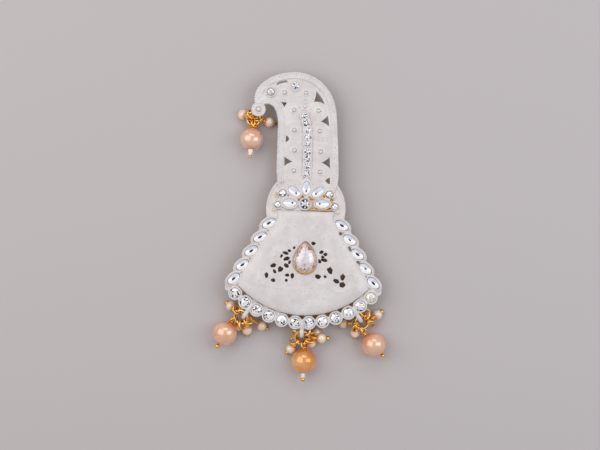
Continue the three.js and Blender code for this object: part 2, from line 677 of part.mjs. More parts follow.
function addPiece(name, geometry, finish) {
  const piece = new THREE.Mesh(geometry, new THREE.MeshStandardMaterial(FINISHES[finish]));
  piece.name = name;
  brooch.add(piece);
  return piece;
}

const stones = seatedStones();
addPiece("base_plate", toGeometry(basePlate(stones)), "enamel");
addPiece("fan_panel", toGeometry(fanPanel()), "enamel");
addPiece("pear_setting", toGeometry(pearSetting()), "gold");
addPiece("plume_stone_row", toGeometry(stoneRow()), "crystal");
addPiece("back_pin", toGeometry(backPin()), "gold");

const pearLess = 2 * (PEAR.wall + PLAY);
const pearOutline = pearPoints(PEAR.length - pearLess, PEAR.width - pearLess);
addPiece("pear_stone", stoneGeometry(pearOutline, 0.9, 1.2), "champagne")
  .position.set(PEAR.x, PEAR.y, FRONT_Z + PANEL.crown + PEAR.rise - 0.2);

for (const stone of stones) {
  const piece = addPiece(stone.name, stoneGeometry(stone.outline(0), 0.75, 1.2), "crystal");
  piece.position.set(stone.x, stone.y, FRONT_Z + stone.rise - 0.2);
  piece.rotation.z = radians(stone.turn);
}

for (const [name, drop] of Object.entries(DROPS)) {
  const { away, along, axis, middle } = ringFrame(drop);
  const ring = addPiece(`jump_ring_${name}`,
    new THREE.TorusGeometry(RING.radius, RING.wire, 5, 14), "gold");
  ring.position.copy(middle);
  ring.setRotationFromMatrix(new THREE.Matrix4().makeBasis(away, along, axis));
}

const counted = {};
for (const pearl of [...BIG_PEARLS, ...SMALL_PEARLS]) {
  const big = BIG_PEARLS.includes(pearl);
  const { geometry, eye, turn } = pearlOnPin(pearl, big ? 14 : 10);
  counted[pearl.drop] = (counted[pearl.drop] ?? -1) + 1;
  const name = big ? `pearl_drop_${pearl.drop}` : `small_pearl_${pearl.drop}_${counted[pearl.drop]}`;
  const piece = addPiece(name, geometry, big ? "peach" : "cream");
  piece.position.copy(eye);
  piece.setRotationFromMatrix(turn);
}

// The brooch's origin is under the middle of its box, on the surface that it lies on.
const box = new THREE.Box3().setFromObject(brooch, true);
brooch.position.set(-(box.min.x + box.max.x) / 2, -(box.min.y + box.max.y) / 2, -box.min.z);

export default brooch;
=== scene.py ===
# %% [markdown]
# # A turban brooch in white enamel, cut glass, pearls and gilt wire
#
# The real thing is a cast brooch, about as long as a hand is wide: a curled plume standing on
# a fan, all of it gilt and then flooded with white enamel, set with foil-backed stones, and
# hung with pearls. Its construction comes in as a fixed frame of solids, one for each part.
# This notebook dresses those solids one after another, so that each cell shows one craft:
# enamelling, stone cutting, wire work, pearl coating.

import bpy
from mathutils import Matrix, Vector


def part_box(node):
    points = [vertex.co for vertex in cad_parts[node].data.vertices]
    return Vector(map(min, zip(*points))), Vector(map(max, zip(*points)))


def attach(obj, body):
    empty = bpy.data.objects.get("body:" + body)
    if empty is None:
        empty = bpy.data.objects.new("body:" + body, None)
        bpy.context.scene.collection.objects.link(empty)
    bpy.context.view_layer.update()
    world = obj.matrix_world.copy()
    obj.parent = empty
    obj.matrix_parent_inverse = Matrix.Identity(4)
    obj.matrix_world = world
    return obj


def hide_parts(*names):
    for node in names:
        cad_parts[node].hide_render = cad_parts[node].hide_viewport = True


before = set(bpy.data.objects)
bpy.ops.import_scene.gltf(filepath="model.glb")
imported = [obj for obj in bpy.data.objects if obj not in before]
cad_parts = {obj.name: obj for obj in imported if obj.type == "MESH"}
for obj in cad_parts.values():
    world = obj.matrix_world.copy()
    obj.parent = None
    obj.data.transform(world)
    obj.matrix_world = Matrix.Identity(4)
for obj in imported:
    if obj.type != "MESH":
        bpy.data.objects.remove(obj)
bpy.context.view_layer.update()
print("CAD nodes:", len(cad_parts))

# %% [markdown]
# ## Measures
#
# Blender works in metres, while a jeweller works in millimetres, so every size of the brooch is
# told in millimetres and is turned into metres where a shape is made. The brooch was drawn
# round the middle of the circle that the fan's lower rim follows. The pear stone's known place
# in that drawing tells where the drawing lies in the frame.

# %% Units and places
import math
import random

import bpy
import numpy as np
from mathutils import Matrix, Vector

MM = 0.001
PEAR = {"x": 0.3, "y": -11.85, "length": 12.4, "width": 8.9}
PANEL_GAP = 0.12         # from the plate's front to the edge of the panel laid on it
PLATE_THICK = 1.5


def box_middle(node):
    low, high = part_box(node)
    return (low + high) / 2


DRAWING_MIDDLE = box_middle("pear_stone") - Vector((PEAR["x"], PEAR["y"], 0)) * MM
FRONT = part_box("fan_panel")[0].z / MM - PANEL_GAP      # the plate's front face
BACK = FRONT - PLATE_THICK                             # and its back


def place(x, y, z=0.0):
    """A point of the drawing, in the frame's metres."""
    return Vector((DRAWING_MIDDLE.x + x * MM, DRAWING_MIDDLE.y + y * MM, z * MM))


def drawn(node):
    """The middle of a CAD node, in the drawing's millimetres."""
    middle = box_middle(node)
    return ((middle.x - DRAWING_MIDDLE.x) / MM, (middle.y - DRAWING_MIDDLE.y) / MM)


print("plate front at", round(FRONT, 2), "mm, back at", round(BACK, 2), "mm")

# %% [markdown]
# ## Camera
#
# The camera looks straight down on the brooch, which lies a touch askew. A short lens close up
# would show the sides of everything that stands high; a long lens from far away keeps the
# relief from leaning outwards, so it is the one used.

# %% Camera
SHOT_WIDTH = 222.0          # width of the field at the plate's front
LENS, SENSOR = 100.0, 36.0
SHOT_MIDDLE = (-1.96, 0.135)
LEAN = 1.9                  # the brooch leans this many degrees clockwise in the shot

camera_data = bpy.data.cameras.new("camera")
camera_data.lens = LENS
camera_data.sensor_width = SENSOR
camera = bpy.data.objects.new("camera", camera_data)
camera.location = place(*SHOT_MIDDLE, FRONT + SHOT_WIDTH * LENS / SENSOR)
camera.rotation_euler = (0, 0, math.radians(LEAN))
bpy.context.scene.collection.objects.link(camera)
bpy.context.scene.camera = camera
print("camera height:", round(camera.location.z, 3), "m")

# %% [markdown]
# Everything that follows is made with Blender's own tools, which act on whatever is selected.
# These helpers keep that in hand: one clears the selection and picks one object, one applies
# a modifier, one turns a colour written in the usual hex form into the linear light that
# shaders work with, and one adds a shader node with its settings and links.

# %% Helpers
def select_only(*objects):
    for other in list(bpy.context.selected_objects):
        other.select_set(False)
    for chosen in objects:
        chosen.select_set(True)
    bpy.context.view_layer.objects.active = objects[0] if objects else None


def apply_modifier(piece, kind, **settings):
    select_only(piece)
    modifier = piece.modifiers.new(kind.title(), kind)
    for name, value in settings.items():
        setattr(modifier, name, value)
    bpy.ops.object.modifier_apply(modifier=modifier.name)


def join(pieces, name):
    select_only(*pieces)
    bpy.ops.object.join()
    pieces[0].name = pieces[0].data.name = name
    return pieces[0]


def settle(piece):
    """Moves an object's place, turn and size into its mesh."""
    select_only(piece)
    bpy.ops.object.transform_apply(location=True, rotation=True, scale=True)
    return piece


def linear(hex_colour):
    """An sRGB hex colour as linear light, with full alpha."""
    levels = [int(hex_colour[i:i + 2], 16) / 255 for i in (1, 3, 5)]
    return (*[v / 12.92 if v <= 0.04045 else ((v + 0.055) / 1.055) ** 2.4 for v in levels], 1)


def add_node(tree, kind, inputs=None, **settings):
    """A shader node, with its own settings, and its sockets set to values or linked."""
    node = tree.nodes.new("ShaderNode" + kind)
    for name, value in settings.items():
        setattr(node, name, value)
    for name, value in (inputs or {}).items():
        if isinstance(value, bpy.types.NodeSocket):
            tree.links.new(value, node.inputs[name])
        else:
            node.inputs[name].default_value = value
    return node


def new_material(name):
    """An empty material with its output node, ready for its shader."""
    material = bpy.data.materials.new(name)
    material.use_nodes = True
    tree = material.node_tree
    tree.nodes.clear()
    return material, tree, tree.nodes.new("ShaderNodeOutputMaterial")


def per_mm(size):
    """A pattern's scale, from the size of one of its features in millimetres."""
    return 1 / (size * MM)


# %% [markdown]
# ## Table and light
#
# The light is that of a small studio: a large soft box on either side, one beyond the head and
# a bright room round them. Small lamps would leave sharp points in every pearl and stone, and
# the sky alone would leave no shine at all. The table is matt paper, which throws light back up
# and shows soft shadows without any gloss of its own.

# %% Table and lights
TABLE_WIDTH = 3          # metres, so that its edges never come into view
ROOM_LIGHT = 0.52


def area_light(name, spot, size, power, colour="#ffffff"):
    """An oblong soft box facing the middle of the brooch; its spot and size are in metres."""
    data = bpy.data.lights.new(name, "AREA")
    data.shape = "RECTANGLE"
    data.size, data.size_y = size
    data.energy = power
    data.color = linear(colour)[:3]
    light = bpy.data.objects.new(name, data)
    light.location = spot
    light.rotation_euler = (-Vector(spot)).to_track_quat("-Z", "Y").to_euler()
    bpy.context.scene.collection.objects.link(light)
    return light


area_light("soft_box_left", (-0.34, 0.10, 0.42), (0.46, 0.56), 1.1, "#fffaf4")
area_light("soft_box_right", (0.36, 0.06, 0.40), (0.27, 0.42), 0.75, "#f6f8ff")
area_light("soft_box_head", (0.02, 0.50, 0.50), (0.50, 0.24), 0.65)

world = bpy.data.worlds.new("studio")
bpy.context.scene.world = world
world.use_nodes = True
sky = world.node_tree.nodes["Background"]
sky.inputs["Color"].default_value = linear("#e4e2e6")
sky.inputs["Strength"].default_value = ROOM_LIGHT
bpy.context.scene.view_settings.view_transform = "Standard"

# Rough all over, so that it gives the eye nothing but a plain pale ground.
paper, tree, output = new_material("matt_paper_table")
shader = add_node(tree, "BsdfPrincipled", {"Base Color": linear("#c9c4c4"), "Roughness": 0.8})
tree.links.new(shader.outputs["BSDF"], output.inputs["Surface"])

select_only()
bpy.ops.mesh.primitive_plane_add(size=TABLE_WIDTH)
table = bpy.context.object
table.name = "table"
table.data.materials.append(paper)
print("lights:", len(bpy.data.lights))

# %% [markdown]
# ## White enamel
#
# Enamel is powdered glass, laid on the gilt casting and fired, so its face is glassy but a
# little uneven, and it carries what a kiln leaves: cloudy patches where the powder lay thick
# or thin, specks and pinholes. In the deepest corners a painted shade draws every outline. The
# back of the casting is left gilt. All of this is one material: the height of a point tells the
# gilt back from the enamelled face, noise gives the clouds and specks, and the occlusion node
# finds the corners for the painted shade.

# %% Enamel material
def enamel_material(name, cloudy, clear, corner_shade_share, speck_share):
    """Cloudy and clear are its two whites; the shares say how dark its painted corner shade and its
    specks are.
    """
    material, tree, output = new_material(name)
    where = add_node(tree, "TexCoord").outputs["Object"]
    # Clouds about five millimetres across, where the powder lay thick or thin.
    clouds = add_node(tree, "TexNoise", {
        "Vector": where, "Scale": per_mm(5.0), "Detail": 3.0, "Roughness": 0.6})
    white = add_node(tree, "ValToRGB", {"Fac": clouds.outputs["Fac"]})
    white.color_ramp.elements[0].position, white.color_ramp.elements[1].position = 0.35, 0.68
    white.color_ramp.elements[0].color = linear(cloudy)
    white.color_ramp.elements[1].color = linear(clear)

    # Pinholes and specks, the largest about a third of a millimetre across.
    cells = add_node(tree, "TexVoronoi", {"Vector": where, "Scale": per_mm(1.3)})
    speck = add_node(tree, "MapRange", {
        "Value": cells.outputs["Distance"],
        "From Min": 0.07, "From Max": 0.16, "To Min": 1.0, "To Max": 0.0})
    few = add_node(tree, "MapRange", {
        "Value": clouds.outputs["Fac"],
        "From Min": 0.38, "From Max": 0.53, "To Min": 0.0, "To Max": speck_share})
    specks = add_node(tree, "Math", {0: speck.outputs["Result"], 1: few.outputs["Result"]},
                      operation="MULTIPLY")
    speckled = add_node(tree, "Mix", {
        "Factor": specks.outputs["Value"], 6: white.outputs["Color"], 7: linear("#8e8482")},
        data_type="RGBA")

    # Painted shade in the corners, as far as about half a millimetre from them.
    corner = add_node(tree, "AmbientOcclusion", {"Distance": 0.6 * MM}, samples=8)
    corner_shade = add_node(tree, "MapRange", {
        "Value": corner.outputs["AO"],
        "From Min": 0.3, "From Max": 0.8, "To Min": corner_shade_share, "To Max": 0.0})
    shaded_white = add_node(tree, "Mix", {
        "Factor": corner_shade.outputs["Result"], 6: speckled.outputs[2], 7: linear("#94877f")},
        data_type="RGBA")

    # Gilding shows on the casting's back, and where the enamel was wiped off.
    height = add_node(tree, "SeparateXYZ", {"Vector": where}).outputs["Z"]
    back = add_node(tree, "MapRange", {
        "Value": height, "From Min": (BACK + 0.25) * MM, "From Max": (BACK + 0.5) * MM,
        "To Min": 1.0, "To Max": 0.0})
    wiped = add_node(tree, "Attribute", attribute_name="bare_gilding")
    patchy = add_node(tree, "TexNoise", {"Vector": where, "Scale": per_mm(1.0), "Detail": 2.0})
    worn = add_node(tree, "MapRange", {
        "Value": patchy.outputs["Fac"], "From Min": 0.28, "From Max": 0.42})
    bare = add_node(tree, "Math", {0: wiped.outputs["Fac"], 1: worn.outputs["Result"]},
                    operation="MULTIPLY")
    gilt = add_node(tree, "Math", {0: back.outputs["Result"], 1: bare.outputs["Value"]},
                    operation="MAXIMUM")
    # The casting's back is mottled with tarnish, a few millimetres across, and painted shade
    # deepens its gold in the corners.
    mottle = add_node(tree, "MapRange", {
        "Value": clouds.outputs["Fac"], "From Min": 0.35, "From Max": 0.75,
        "To Min": 0.0, "To Max": 0.38})
    shade_and_tarnish = add_node(tree, "Math", {0: corner_shade.outputs["Result"], 1: mottle.outputs["Result"]},
                         operation="MAXIMUM")
    deep = add_node(tree, "Mix", {
        "Factor": shade_and_tarnish.outputs["Value"], 6: linear("#ebc48a"), 7: linear("#7a4f28")},
        data_type="RGBA")
    colour = add_node(tree, "Mix", {
        "Factor": gilt.outputs["Value"], 6: shaded_white.outputs[2], 7: deep.outputs[2]},
        data_type="RGBA")
    # The gloss changes with the clouds, over a skin with shallow dents and pinholes.
    gloss = add_node(tree, "MapRange", {
        "Value": clouds.outputs["Fac"], "To Min": 0.22, "To Max": 0.42})
    skin = add_node(tree, "TexNoise", {
        "Vector": where, "Scale": per_mm(0.7), "Detail": 2.0})
    dents = add_node(tree, "Math", {0: skin.outputs["Fac"], 1: specks.outputs["Value"]},
                     operation="SUBTRACT")
    bump = add_node(tree, "Bump", {
        "Height": dents.outputs["Value"], "Strength": 0.35, "Distance": 0.06 * MM})
    shader = add_node(tree, "BsdfPrincipled", {
        "Base Color": colour.outputs[2], "Metallic": gilt.outputs["Value"],
        "Roughness": gloss.outputs["Result"], "Normal": bump.outputs["Normal"],
        "IOR": 1.5, "Coat Weight": 0.25, "Coat Roughness": 0.12})
    tree.links.new(shader.outputs["BSDF"], output.inputs["Surface"])
    return material


# Enamel pooled in the flats: a milky white with painted grey shade in every corner, softly glossy.
ENAMEL = enamel_material("fired_white_enamel_over_gilt_casting", "#e0dad7", "#eeeae9", 0.6, 0.85)
# Enamel that ran thin over beads and rails: brighter, with less painted shade between them.
BEADWORK_ENAMEL = enamel_material("thin_white_enamel_on_beadwork", "#eae5e4", "#f8f5f6", 0.3, 0.9)
print("made", ENAMEL.name, "and", BEADWORK_ENAMEL.name)

# %% [markdown]
# ## Outlines
#
# A stone's seat, its raised lip and its glass all follow the same outline at different sizes.
# Each outline is a short formula: an oval, an oval pinched into a navette, or a pear. The
# plume's edge is a chain of Bezier curves, as a designer would draw it.

# %% Outline formulas
PEAR_TAPER, PEAR_WIDEST = 0.6, 0.841     # what draws its tip out, and its formula's peak


def oval_point(angle, length, width, pinch=0.0):
    """The point of an oval at an angle; above 0, pinch draws its two ends into points."""
    side = math.sin(angle) * abs(math.sin(angle)) ** pinch
    return (length / 2 * math.cos(angle), width / 2 * side)


def pear_point(angle, length, width):
    """The point of a pear at an angle from its tip."""
    side = math.sin(angle) * abs(math.sin(angle / 2)) ** PEAR_TAPER
    return (-width / 2 * side / PEAR_WIDEST, length / 2 * math.cos(angle))


def round_angles(count):
    return [2 * math.pi * i / count for i in range(count)]


def oval(length, width, count=48, pinch=0.0):
    return [oval_point(a, length, width, pinch) for a in round_angles(count)]


def pear(length, width, count=60):
    return [pear_point(a, length, width) for a in round_angles(count)]


def turned(points, x, y, degrees=0.0):
    """Points turned about their own middle and moved to a place in the drawing."""
    c, s = math.cos(math.radians(degrees)), math.sin(math.radians(degrees))
    return [(x + px * c - py * s, y + px * s + py * c) for px, py in points]


def bezier(start, first, second, end, count):
    """Points of a Bezier curve from its start up to, but without, its end."""
    points = []
    for i in range(count):
        t = i / count
        weights = ((1 - t) ** 3, 3 * t * (1 - t) ** 2, 3 * t * t * (1 - t), t ** 3)
        points.append(tuple(sum(w * p[k] for w, p in zip(weights, (start, first, second, end)))
                            for k in (0, 1)))
    return points


def plume_edge():
    """The plume's edge from its right foot over the top, round the curl and down to the left."""
    return [
        (10.6, 12.8),
        *bezier((11.4, 15.1), (11.8, 17), (11.8, 19), (11.5, 24), 10),
        *bezier((11.5, 24), (11.2, 31), (10.7, 37), (10.2, 42), 20),
        *bezier((10.2, 42), (9.2, 51), (2.2, 56.6), (-5.3, 56.6), 30),
        *bezier((-5.3, 56.6), (-11.5, 56.6), (-20.3, 53.4), (-20.4, 46.2), 30),
        (-20.4, 46.2), (-20.2, 44.4),
    ], [
        (-16.9, 44.0),
        *bezier((-16.5, 44.3), (-13.6, 45.2), (-11.9, 42.6), (-11.35, 38), 20),
        (-11.35, 38), (-11.35, 19.5), (-10.95, 16.3), (-10.6, 12.8),
    ]


def spaced(points, step):
    """Points at even steps along a line of points, with the direction of the line at each."""
    line = np.array(points, float)
    lengths = np.linalg.norm(np.diff(line, axis=0), axis=1)
    travelled = np.concatenate([[0], np.cumsum(lengths)])
    count = max(2, round(travelled[-1] / step) + 1)
    stations = np.linspace(0, travelled[-1], count)
    even = np.stack([np.interp(stations, travelled, line[:, k]) for k in (0, 1)], axis=1)
    ahead = np.gradient(even, axis=0)
    return even, ahead / np.linalg.norm(ahead, axis=1)[:, None]


def moved_in(points, distance, step=0.5):
    """The line moved to its left side by a distance, which is inwards on these edges."""
    even, ahead = spaced(points, step)
    left = np.stack([-ahead[:, 1], ahead[:, 0]], axis=1)
    return [tuple(p) for p in even + left * distance]


outer_edge, inner_edge = plume_edge()
print("outer edge:", len(outer_edge), "points, inner edge:", len(inner_edge))

# %% [markdown]
# ## Round wire, used everywhere
#
# Lips round stones, headpins, loops and rings are all round wire bent along a line. A circle
# could be extruded along each line by hand, which takes many steps. Blender gives a curve a
# round section with its bevel depth, so that way is taken, and the curve is made a mesh.

# %% Wire helper
def wire(name, points, radius, closed=False, sides=2):
    """Round wire along points given in metres; sides is the curve's bevel resolution."""
    data = bpy.data.curves.new(name, "CURVE")
    data.dimensions = "3D"
    data.bevel_depth = radius * MM
    data.bevel_resolution = sides
    data.use_fill_caps = not closed
    spline = data.splines.new("POLY")
    spline.points.add(len(points) - 1)
    for point, spot in zip(spline.points, points):
        point.co = (*spot, 1)
    spline.use_cyclic_u = closed
    piece = bpy.data.objects.new(name, data)
    bpy.context.scene.collection.objects.link(piece)
    select_only(piece)
    bpy.ops.object.convert(target="MESH")
    return bpy.context.object


def flat_wire(name, points, height, radius, closed=True, sides=2):
    """Wire along points of the drawing, its middle at a height."""
    return wire(name, [place(x, y, height) for x, y in points], radius, closed, sides)

# %% [markdown]
# Every piece ends in the same way. A brooch is one stiff thing, so all pieces ride on its one
# body.

# %% Finishing a piece
def finish_piece(piece, material, replaced=(), angle=40):
    """The last steps for every piece: place in its mesh, smooth shading, finish, body."""
    settle(piece)
    bpy.ops.object.shade_smooth_by_angle(angle=math.radians(angle))
    piece.data.materials.clear()
    piece.data.materials.append(material)
    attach(piece, "root")
    if replaced:
        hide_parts(*replaced)
    return piece


# %% [markdown]
# ## The enamelled plate
#
# The casting has sharp edges and flat walls; enamel has neither. So the plate starts as a
# merged copy of its solid, gets its raised work (lips round the stones, lobes, the rim of the
# shoulder, rings for the small studs), and then all of it is remeshed into one skin of small
# voxels and smoothed, as if the enamel had flowed over it. Bevelling the solid would be
# lighter, but a bevel can't round the many places where raised shapes run into each other.

# %% Copying and flooding
WELD = 0.002             # corners of a solid's triangles that are closer than this are one


def merged_copy(node, name):
    """A copy of a CAD node with its loose triangles joined up."""
    piece = bpy.data.objects.new(name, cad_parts[node].data.copy())
    bpy.context.scene.collection.objects.link(piece)
    select_only(piece)
    bpy.ops.object.mode_set(mode="EDIT")
    bpy.ops.mesh.select_all(action="SELECT")
    bpy.ops.mesh.remove_doubles(threshold=WELD * MM)
    bpy.ops.object.mode_set(mode="OBJECT")
    return piece


def flood(piece, voxel, rounds, keep=1.0):
    """Turns joined shapes into one soft skin, and thins it to a share of its faces."""
    apply_modifier(piece, "REMESH", mode="VOXEL", voxel_size=voxel * MM, adaptivity=0.0)
    apply_modifier(piece, "SMOOTH", factor=0.5, iterations=rounds)
    if keep < 1:
        apply_modifier(piece, "DECIMATE", ratio=keep)
    return piece


# %% [markdown]
# The stones' seats are read from the frame: a stone's own solid tells where it sits and how
# high. Only its outline's formula and its turn are stated here.

# %% Stones and their seats
RIM_COUNT, RIM_TURN = 12, 11.0           # each stone is turned this much past the last
EDGE_TURNS = (32, 33, 35, 37, 43)        # of the navettes, from the top of the fan down
EDGE_SEAT = (7.9, 4.9)                   # length and width of the casting under each navette
PETAL_TURNS = (0, -41, 90, 41, 0)
ROUND_SIZES = (2.3, 2.7, 2.7, 2.3)       # of the small rounds on either side of the petals
PAVILION = 1.2                           # how far a stone reaches below its girdle

seats = {}
for i in range(RIM_COUNT):
    seats[f"rim_stone_{i + 1}"] = {"size": (4.0, 4.0), "pinch": 0.0, "turn": RIM_TURN * i}
for side, sign in (("left", 1), ("right", -1)):
    for i, degrees in enumerate(EDGE_TURNS):
        seats[f"edge_stone_{side}_{i + 1}"] = {
            "size": (5.35, 3.4), "pinch": 0.2, "turn": sign * degrees}
for i, degrees in enumerate(PETAL_TURNS):
    seats[f"neck_petal_{i + 1}"] = {"size": (5.6, 3.5), "pinch": 0.05, "turn": degrees}
seats["neck_centre_stone"] = {"size": (3.7, 3.7), "pinch": 0.0, "turn": 0}
for i, size in enumerate(ROUND_SIZES):
    seats[f"neck_round_{i + 1}"] = {"size": (size, size), "pinch": 0.0, "turn": 0}
for node, seat in seats.items():
    seat["x"], seat["y"] = drawn(node)
    seat["girdle"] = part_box(node)[0].z / MM + PAVILION


def seat_outline(seat, grow, count=48):
    """A stone's outline in its place, larger by grow."""
    length, width = seat["size"]
    points = oval(length + grow, width + grow, count, seat["pinch"])
    return turned(points, seat["x"], seat["y"], seat["turn"])


print("seats:", len(seats))

# %% [markdown]
# The plume carries two columns of shallow round lobes, each with a tiny stone in a ring. A lobe
# is a ball pressed nearly flat and half sunk in the plate, which is simpler than drawing its
# swell into the plate's own face. The solid's coarser lobes are pressed down to make room.

# %% Lobes and studs
LOBES = [(-4.9, 20.1), (-4.9, 27.6), (-5.2, 35.1), (-5.5, 42.6), (-9.2, 48.9),
         (-1.3, 49.0), (3.5, 42.6), (4.2, 35.1), (4.8, 27.5), (4.8, 20.0)]
HOOK = (-18.7, 42.4)
STUDS = [(-5.2, 51.5, 2.9), (-14.4, 49.0, 2.7), (*HOOK, 2.0)]
SEED_BEADS = [(11.9, 5.1), (-11.9, 5.4), (10.6, 11.0), (-10.8, 12.2), (-6.9, 14.2), (6.6, 14.4)]
LOBE_RADIUS, LOBE_RISE, LOBE_FLAT = 3.9, 0.24, 2.6     # the last is what is pressed down
LOBE_KEPT = 0.3          # the share of a lobe's height that is left when it is pressed
STUD_FLOOR = 0.5         # height above the plate that the larger studs' seats are pressed to
STUD_FLAT = 0.75         # how far round a stud is pressed, as a share of its width
SEED_RADIUS = 0.75
TINY_RING, TINY_RING_RISE, TINY_RING_WIRE = 1.9, 0.22, 0.24      # round the lobes' tiny stones
WIDE_RING_GROW, WIDE_RING_WIRE = 0.9, 0.28                       # round the larger studs
OFF_FRONT = 0.02         # the middles of low raised shapes lie this far off the plate's front


def dome(x, y, radius, rise):
    """A flattened ball, half sunk into the plate's front."""
    select_only()
    bpy.ops.mesh.primitive_uv_sphere_add(segments=48, ring_count=24, radius=radius * MM,
                                         location=place(x, y, FRONT - OFF_FRONT))
    piece = bpy.context.object
    select_only(piece)
    bpy.ops.transform.resize(value=(1, 1, rise / radius))
    return settle(piece)


def press_flat(piece):
    """Presses the copied solid's lobes and stud stones down; finer ones take their place."""
    for vertex in piece.data.vertices:
        x, y = ((vertex.co - DRAWING_MIDDLE) / MM)[:2]
        rise = vertex.co.z / MM - FRONT
        on_stud = any(math.hypot(x - sx, y - sy) < STUD_FLAT * size for sx, sy, size in STUDS)
        on_lobe = any(math.hypot(x - lx, y - ly) < LOBE_FLAT for lx, ly in LOBES)
        if rise > STUD_FLOOR and on_stud:
            vertex.co.z = (FRONT + STUD_FLOOR) * MM
        elif rise > 0.01 and on_lobe:
            vertex.co.z = (FRONT + LOBE_KEPT * rise) * MM
    return piece


raised = [dome(x, y, LOBE_RADIUS, LOBE_RISE) for x, y in LOBES]
raised += [flat_wire("stud_ring", turned(oval(TINY_RING, TINY_RING, 24), x, y),
                     FRONT + TINY_RING_RISE, TINY_RING_WIRE) for x, y in LOBES]
raised += [flat_wire("stud_ring",
                     turned(oval(size + WIDE_RING_GROW, size + WIDE_RING_GROW, 36), x, y),
                     FRONT + STUD_FLOOR, WIDE_RING_WIRE) for x, y, size in STUDS]
raised += [dome(x, y, SEED_RADIUS, SEED_RADIUS) for x, y in SEED_BEADS]
print("lobes:", len(LOBES), "larger studs:", len(STUDS))

# %% [markdown]
# Each stone is held by a lip of metal pressed over its girdle. Along the fan's sides the seats
# overlap like scales, so only the outer part of each seat has a rim of its own. Both are bent
# from wire here, because the flood of enamel later melts wire and plate into one shape.

# %% Lips and scallops
LIP_REACH, LIP_SINK = 0.75, 0.08         # how much wider than the stone, and below its girdle
LIP_WIRE, FINE_LIP_WIRE = 0.27, 0.22     # round stones longer than 3 mm, and round smaller ones
SCALLOP_INSET, SCALLOP_WIRE = 0.5, 0.3
SCALLOP_PAST = 1.2       # how far a scallop runs on towards the fan past its seat's middle
WELL_INSIDE = 0.95       # a neighbour covers a rim within this share of its own area


def seat_lips():
    """A rounded lip round every stone, at the height of its girdle."""
    lips = []
    for node, seat in seats.items():
        thick = LIP_WIRE if seat["size"][0] > 3 else FINE_LIP_WIRE
        lips.append(flat_wire(node + "_lip", seat_outline(seat, LIP_REACH),
                              seat["girdle"] - LIP_SINK, thick))
    return lips


def inside_seat(point, seat):
    dx, dy = point[0] - seat["x"], point[1] - seat["y"]
    c, s = math.cos(math.radians(seat["turn"])), math.sin(math.radians(seat["turn"]))
    along, across = dx * c + dy * s, -dx * s + dy * c
    spread = (along / (EDGE_SEAT[0] / 2)) ** 2 + (across / (EDGE_SEAT[1] / 2)) ** 2
    return spread < WELL_INSIDE


def scallop_arcs():
    """The outer part of each edge seat's rim, where no other seat lies over it."""
    edge_seats = [s for n, s in seats.items() if n.startswith("edge")]
    length, width = (size - SCALLOP_INSET for size in EDGE_SEAT)
    arcs = []
    for seat in edge_seats:
        points = turned(oval(length, width, 72), seat["x"], seat["y"], seat["turn"])
        others = [s for s in edge_seats if s is not seat]
        kept = [p for p in points
                if math.copysign(1, seat["x"]) * (p[0] - seat["x"]) > -SCALLOP_PAST
                and all(not inside_seat(p, other) for other in others)]
        kept.sort(key=lambda p: math.atan2(p[1] - seat["y"], abs(p[0]) - abs(seat["x"])))
        arcs.append(flat_wire("scallop", kept, FRONT + OFF_FRONT, SCALLOP_WIRE, closed=False))
    return arcs


raised += seat_lips() + scallop_arcs()
print("with lips and scallops:", len(raised))

# %% [markdown]
# The round shoulder between plume and fan has a raised rim at both sides, and two leaves spring
# from the top petal. Where the domed panel will lie on the plate, a thick wire along each of
# its sides carries the enamel up to it. All of these are wires again, for the same reason.

# %% Shoulder, leaves and fillets
SHOULDER = (0.0, 6.1, 14.8)              # middle and radius
SHOULDER_SWEEPS = ((-12, 42), (138, 192))
SHOULDER_INSET, SHOULDER_WIRE = 0.45, 0.38
LEAF_TIP, LEAF_END = (-0.1, 16.7), (1.75, 2.1)         # the end is told from the tip
LEAF_EDGES = (((1.25, 0.55), 0.4, 0.26), ((0.55, 1.5), 0.35, 0.24))    # bend, height, wire
FILLET_RUN = [(9.9, 4.6), (9.6, 3.0), (22.4, -18.9), (23.4, -23.0)]
FILLET_WIRE, FILLET_RISE = 0.85, 0.1


def shoulder_rims():
    """A raised rim along both sides of the round shoulder."""
    x, y, radius = SHOULDER
    reach = radius - SHOULDER_INSET
    rims = []
    for start, stop in SHOULDER_SWEEPS:
        sweep = [(x + reach * math.cos(math.radians(a)), y + reach * math.sin(math.radians(a)))
                 for a in range(start, stop + 1, 2)]
        rims.append(flat_wire("shoulder_rim", sweep, FRONT + OFF_FRONT, SHOULDER_WIRE,
                              closed=False))
    return rims


def leaf_pair():
    """Two small leaves that spring from the point of the top petal."""
    x, y = LEAF_TIP
    edges = []
    for side in (-1, 1):
        end = (x + side * LEAF_END[0], y + LEAF_END[1])
        for (out, up), height, thick in LEAF_EDGES:
            bend = (x + side * out, y + up)
            edges.append(flat_wire("leaf", [LEAF_TIP, bend, end], FRONT + height, thick,
                                   closed=False))
    return edges


def panel_fillets():
    """Thick wires under the panel's sides, so that the enamel runs up to it without a gap."""
    return [flat_wire("fillet", [(side * x, y) for x, y in FILLET_RUN], FRONT + FILLET_RISE,
                      FILLET_WIRE, closed=False) for side in (-1, 1)]


raised += shoulder_rims() + leaf_pair()
raised += panel_fillets()
print("with shoulder, leaves and fillets:", len(raised))

# %% [markdown]
# Three lugs at the fan's rim and the ring at the tip of the curl carry the drops. On the real
# casting each lug is one lump with a hole through it. A short neck and a ring of thick wire
# give the same lump, with its hole already open.

# %% Lugs
LUG_AT, LUG_REACH = 32.16, 39.6          # degrees round the rim, and from the drawing's middle
LUG_NECK = [(35.1, 0.3), (35.8, 0.75), (36.8, 0.85), (37.7, 0.6), (38.5, 0.0), (38.9, -0.7)]
LUG_NECK_WIRE, LUG_LOOP_RADIUS, LUG_LOOP_WIRE, LUG_DROP = 0.82, 1.3, 0.86, 0.8
HOOK_RING, HOOK_RING_RISE, HOOK_RING_WIRE = 4.7, 0.42, 0.34


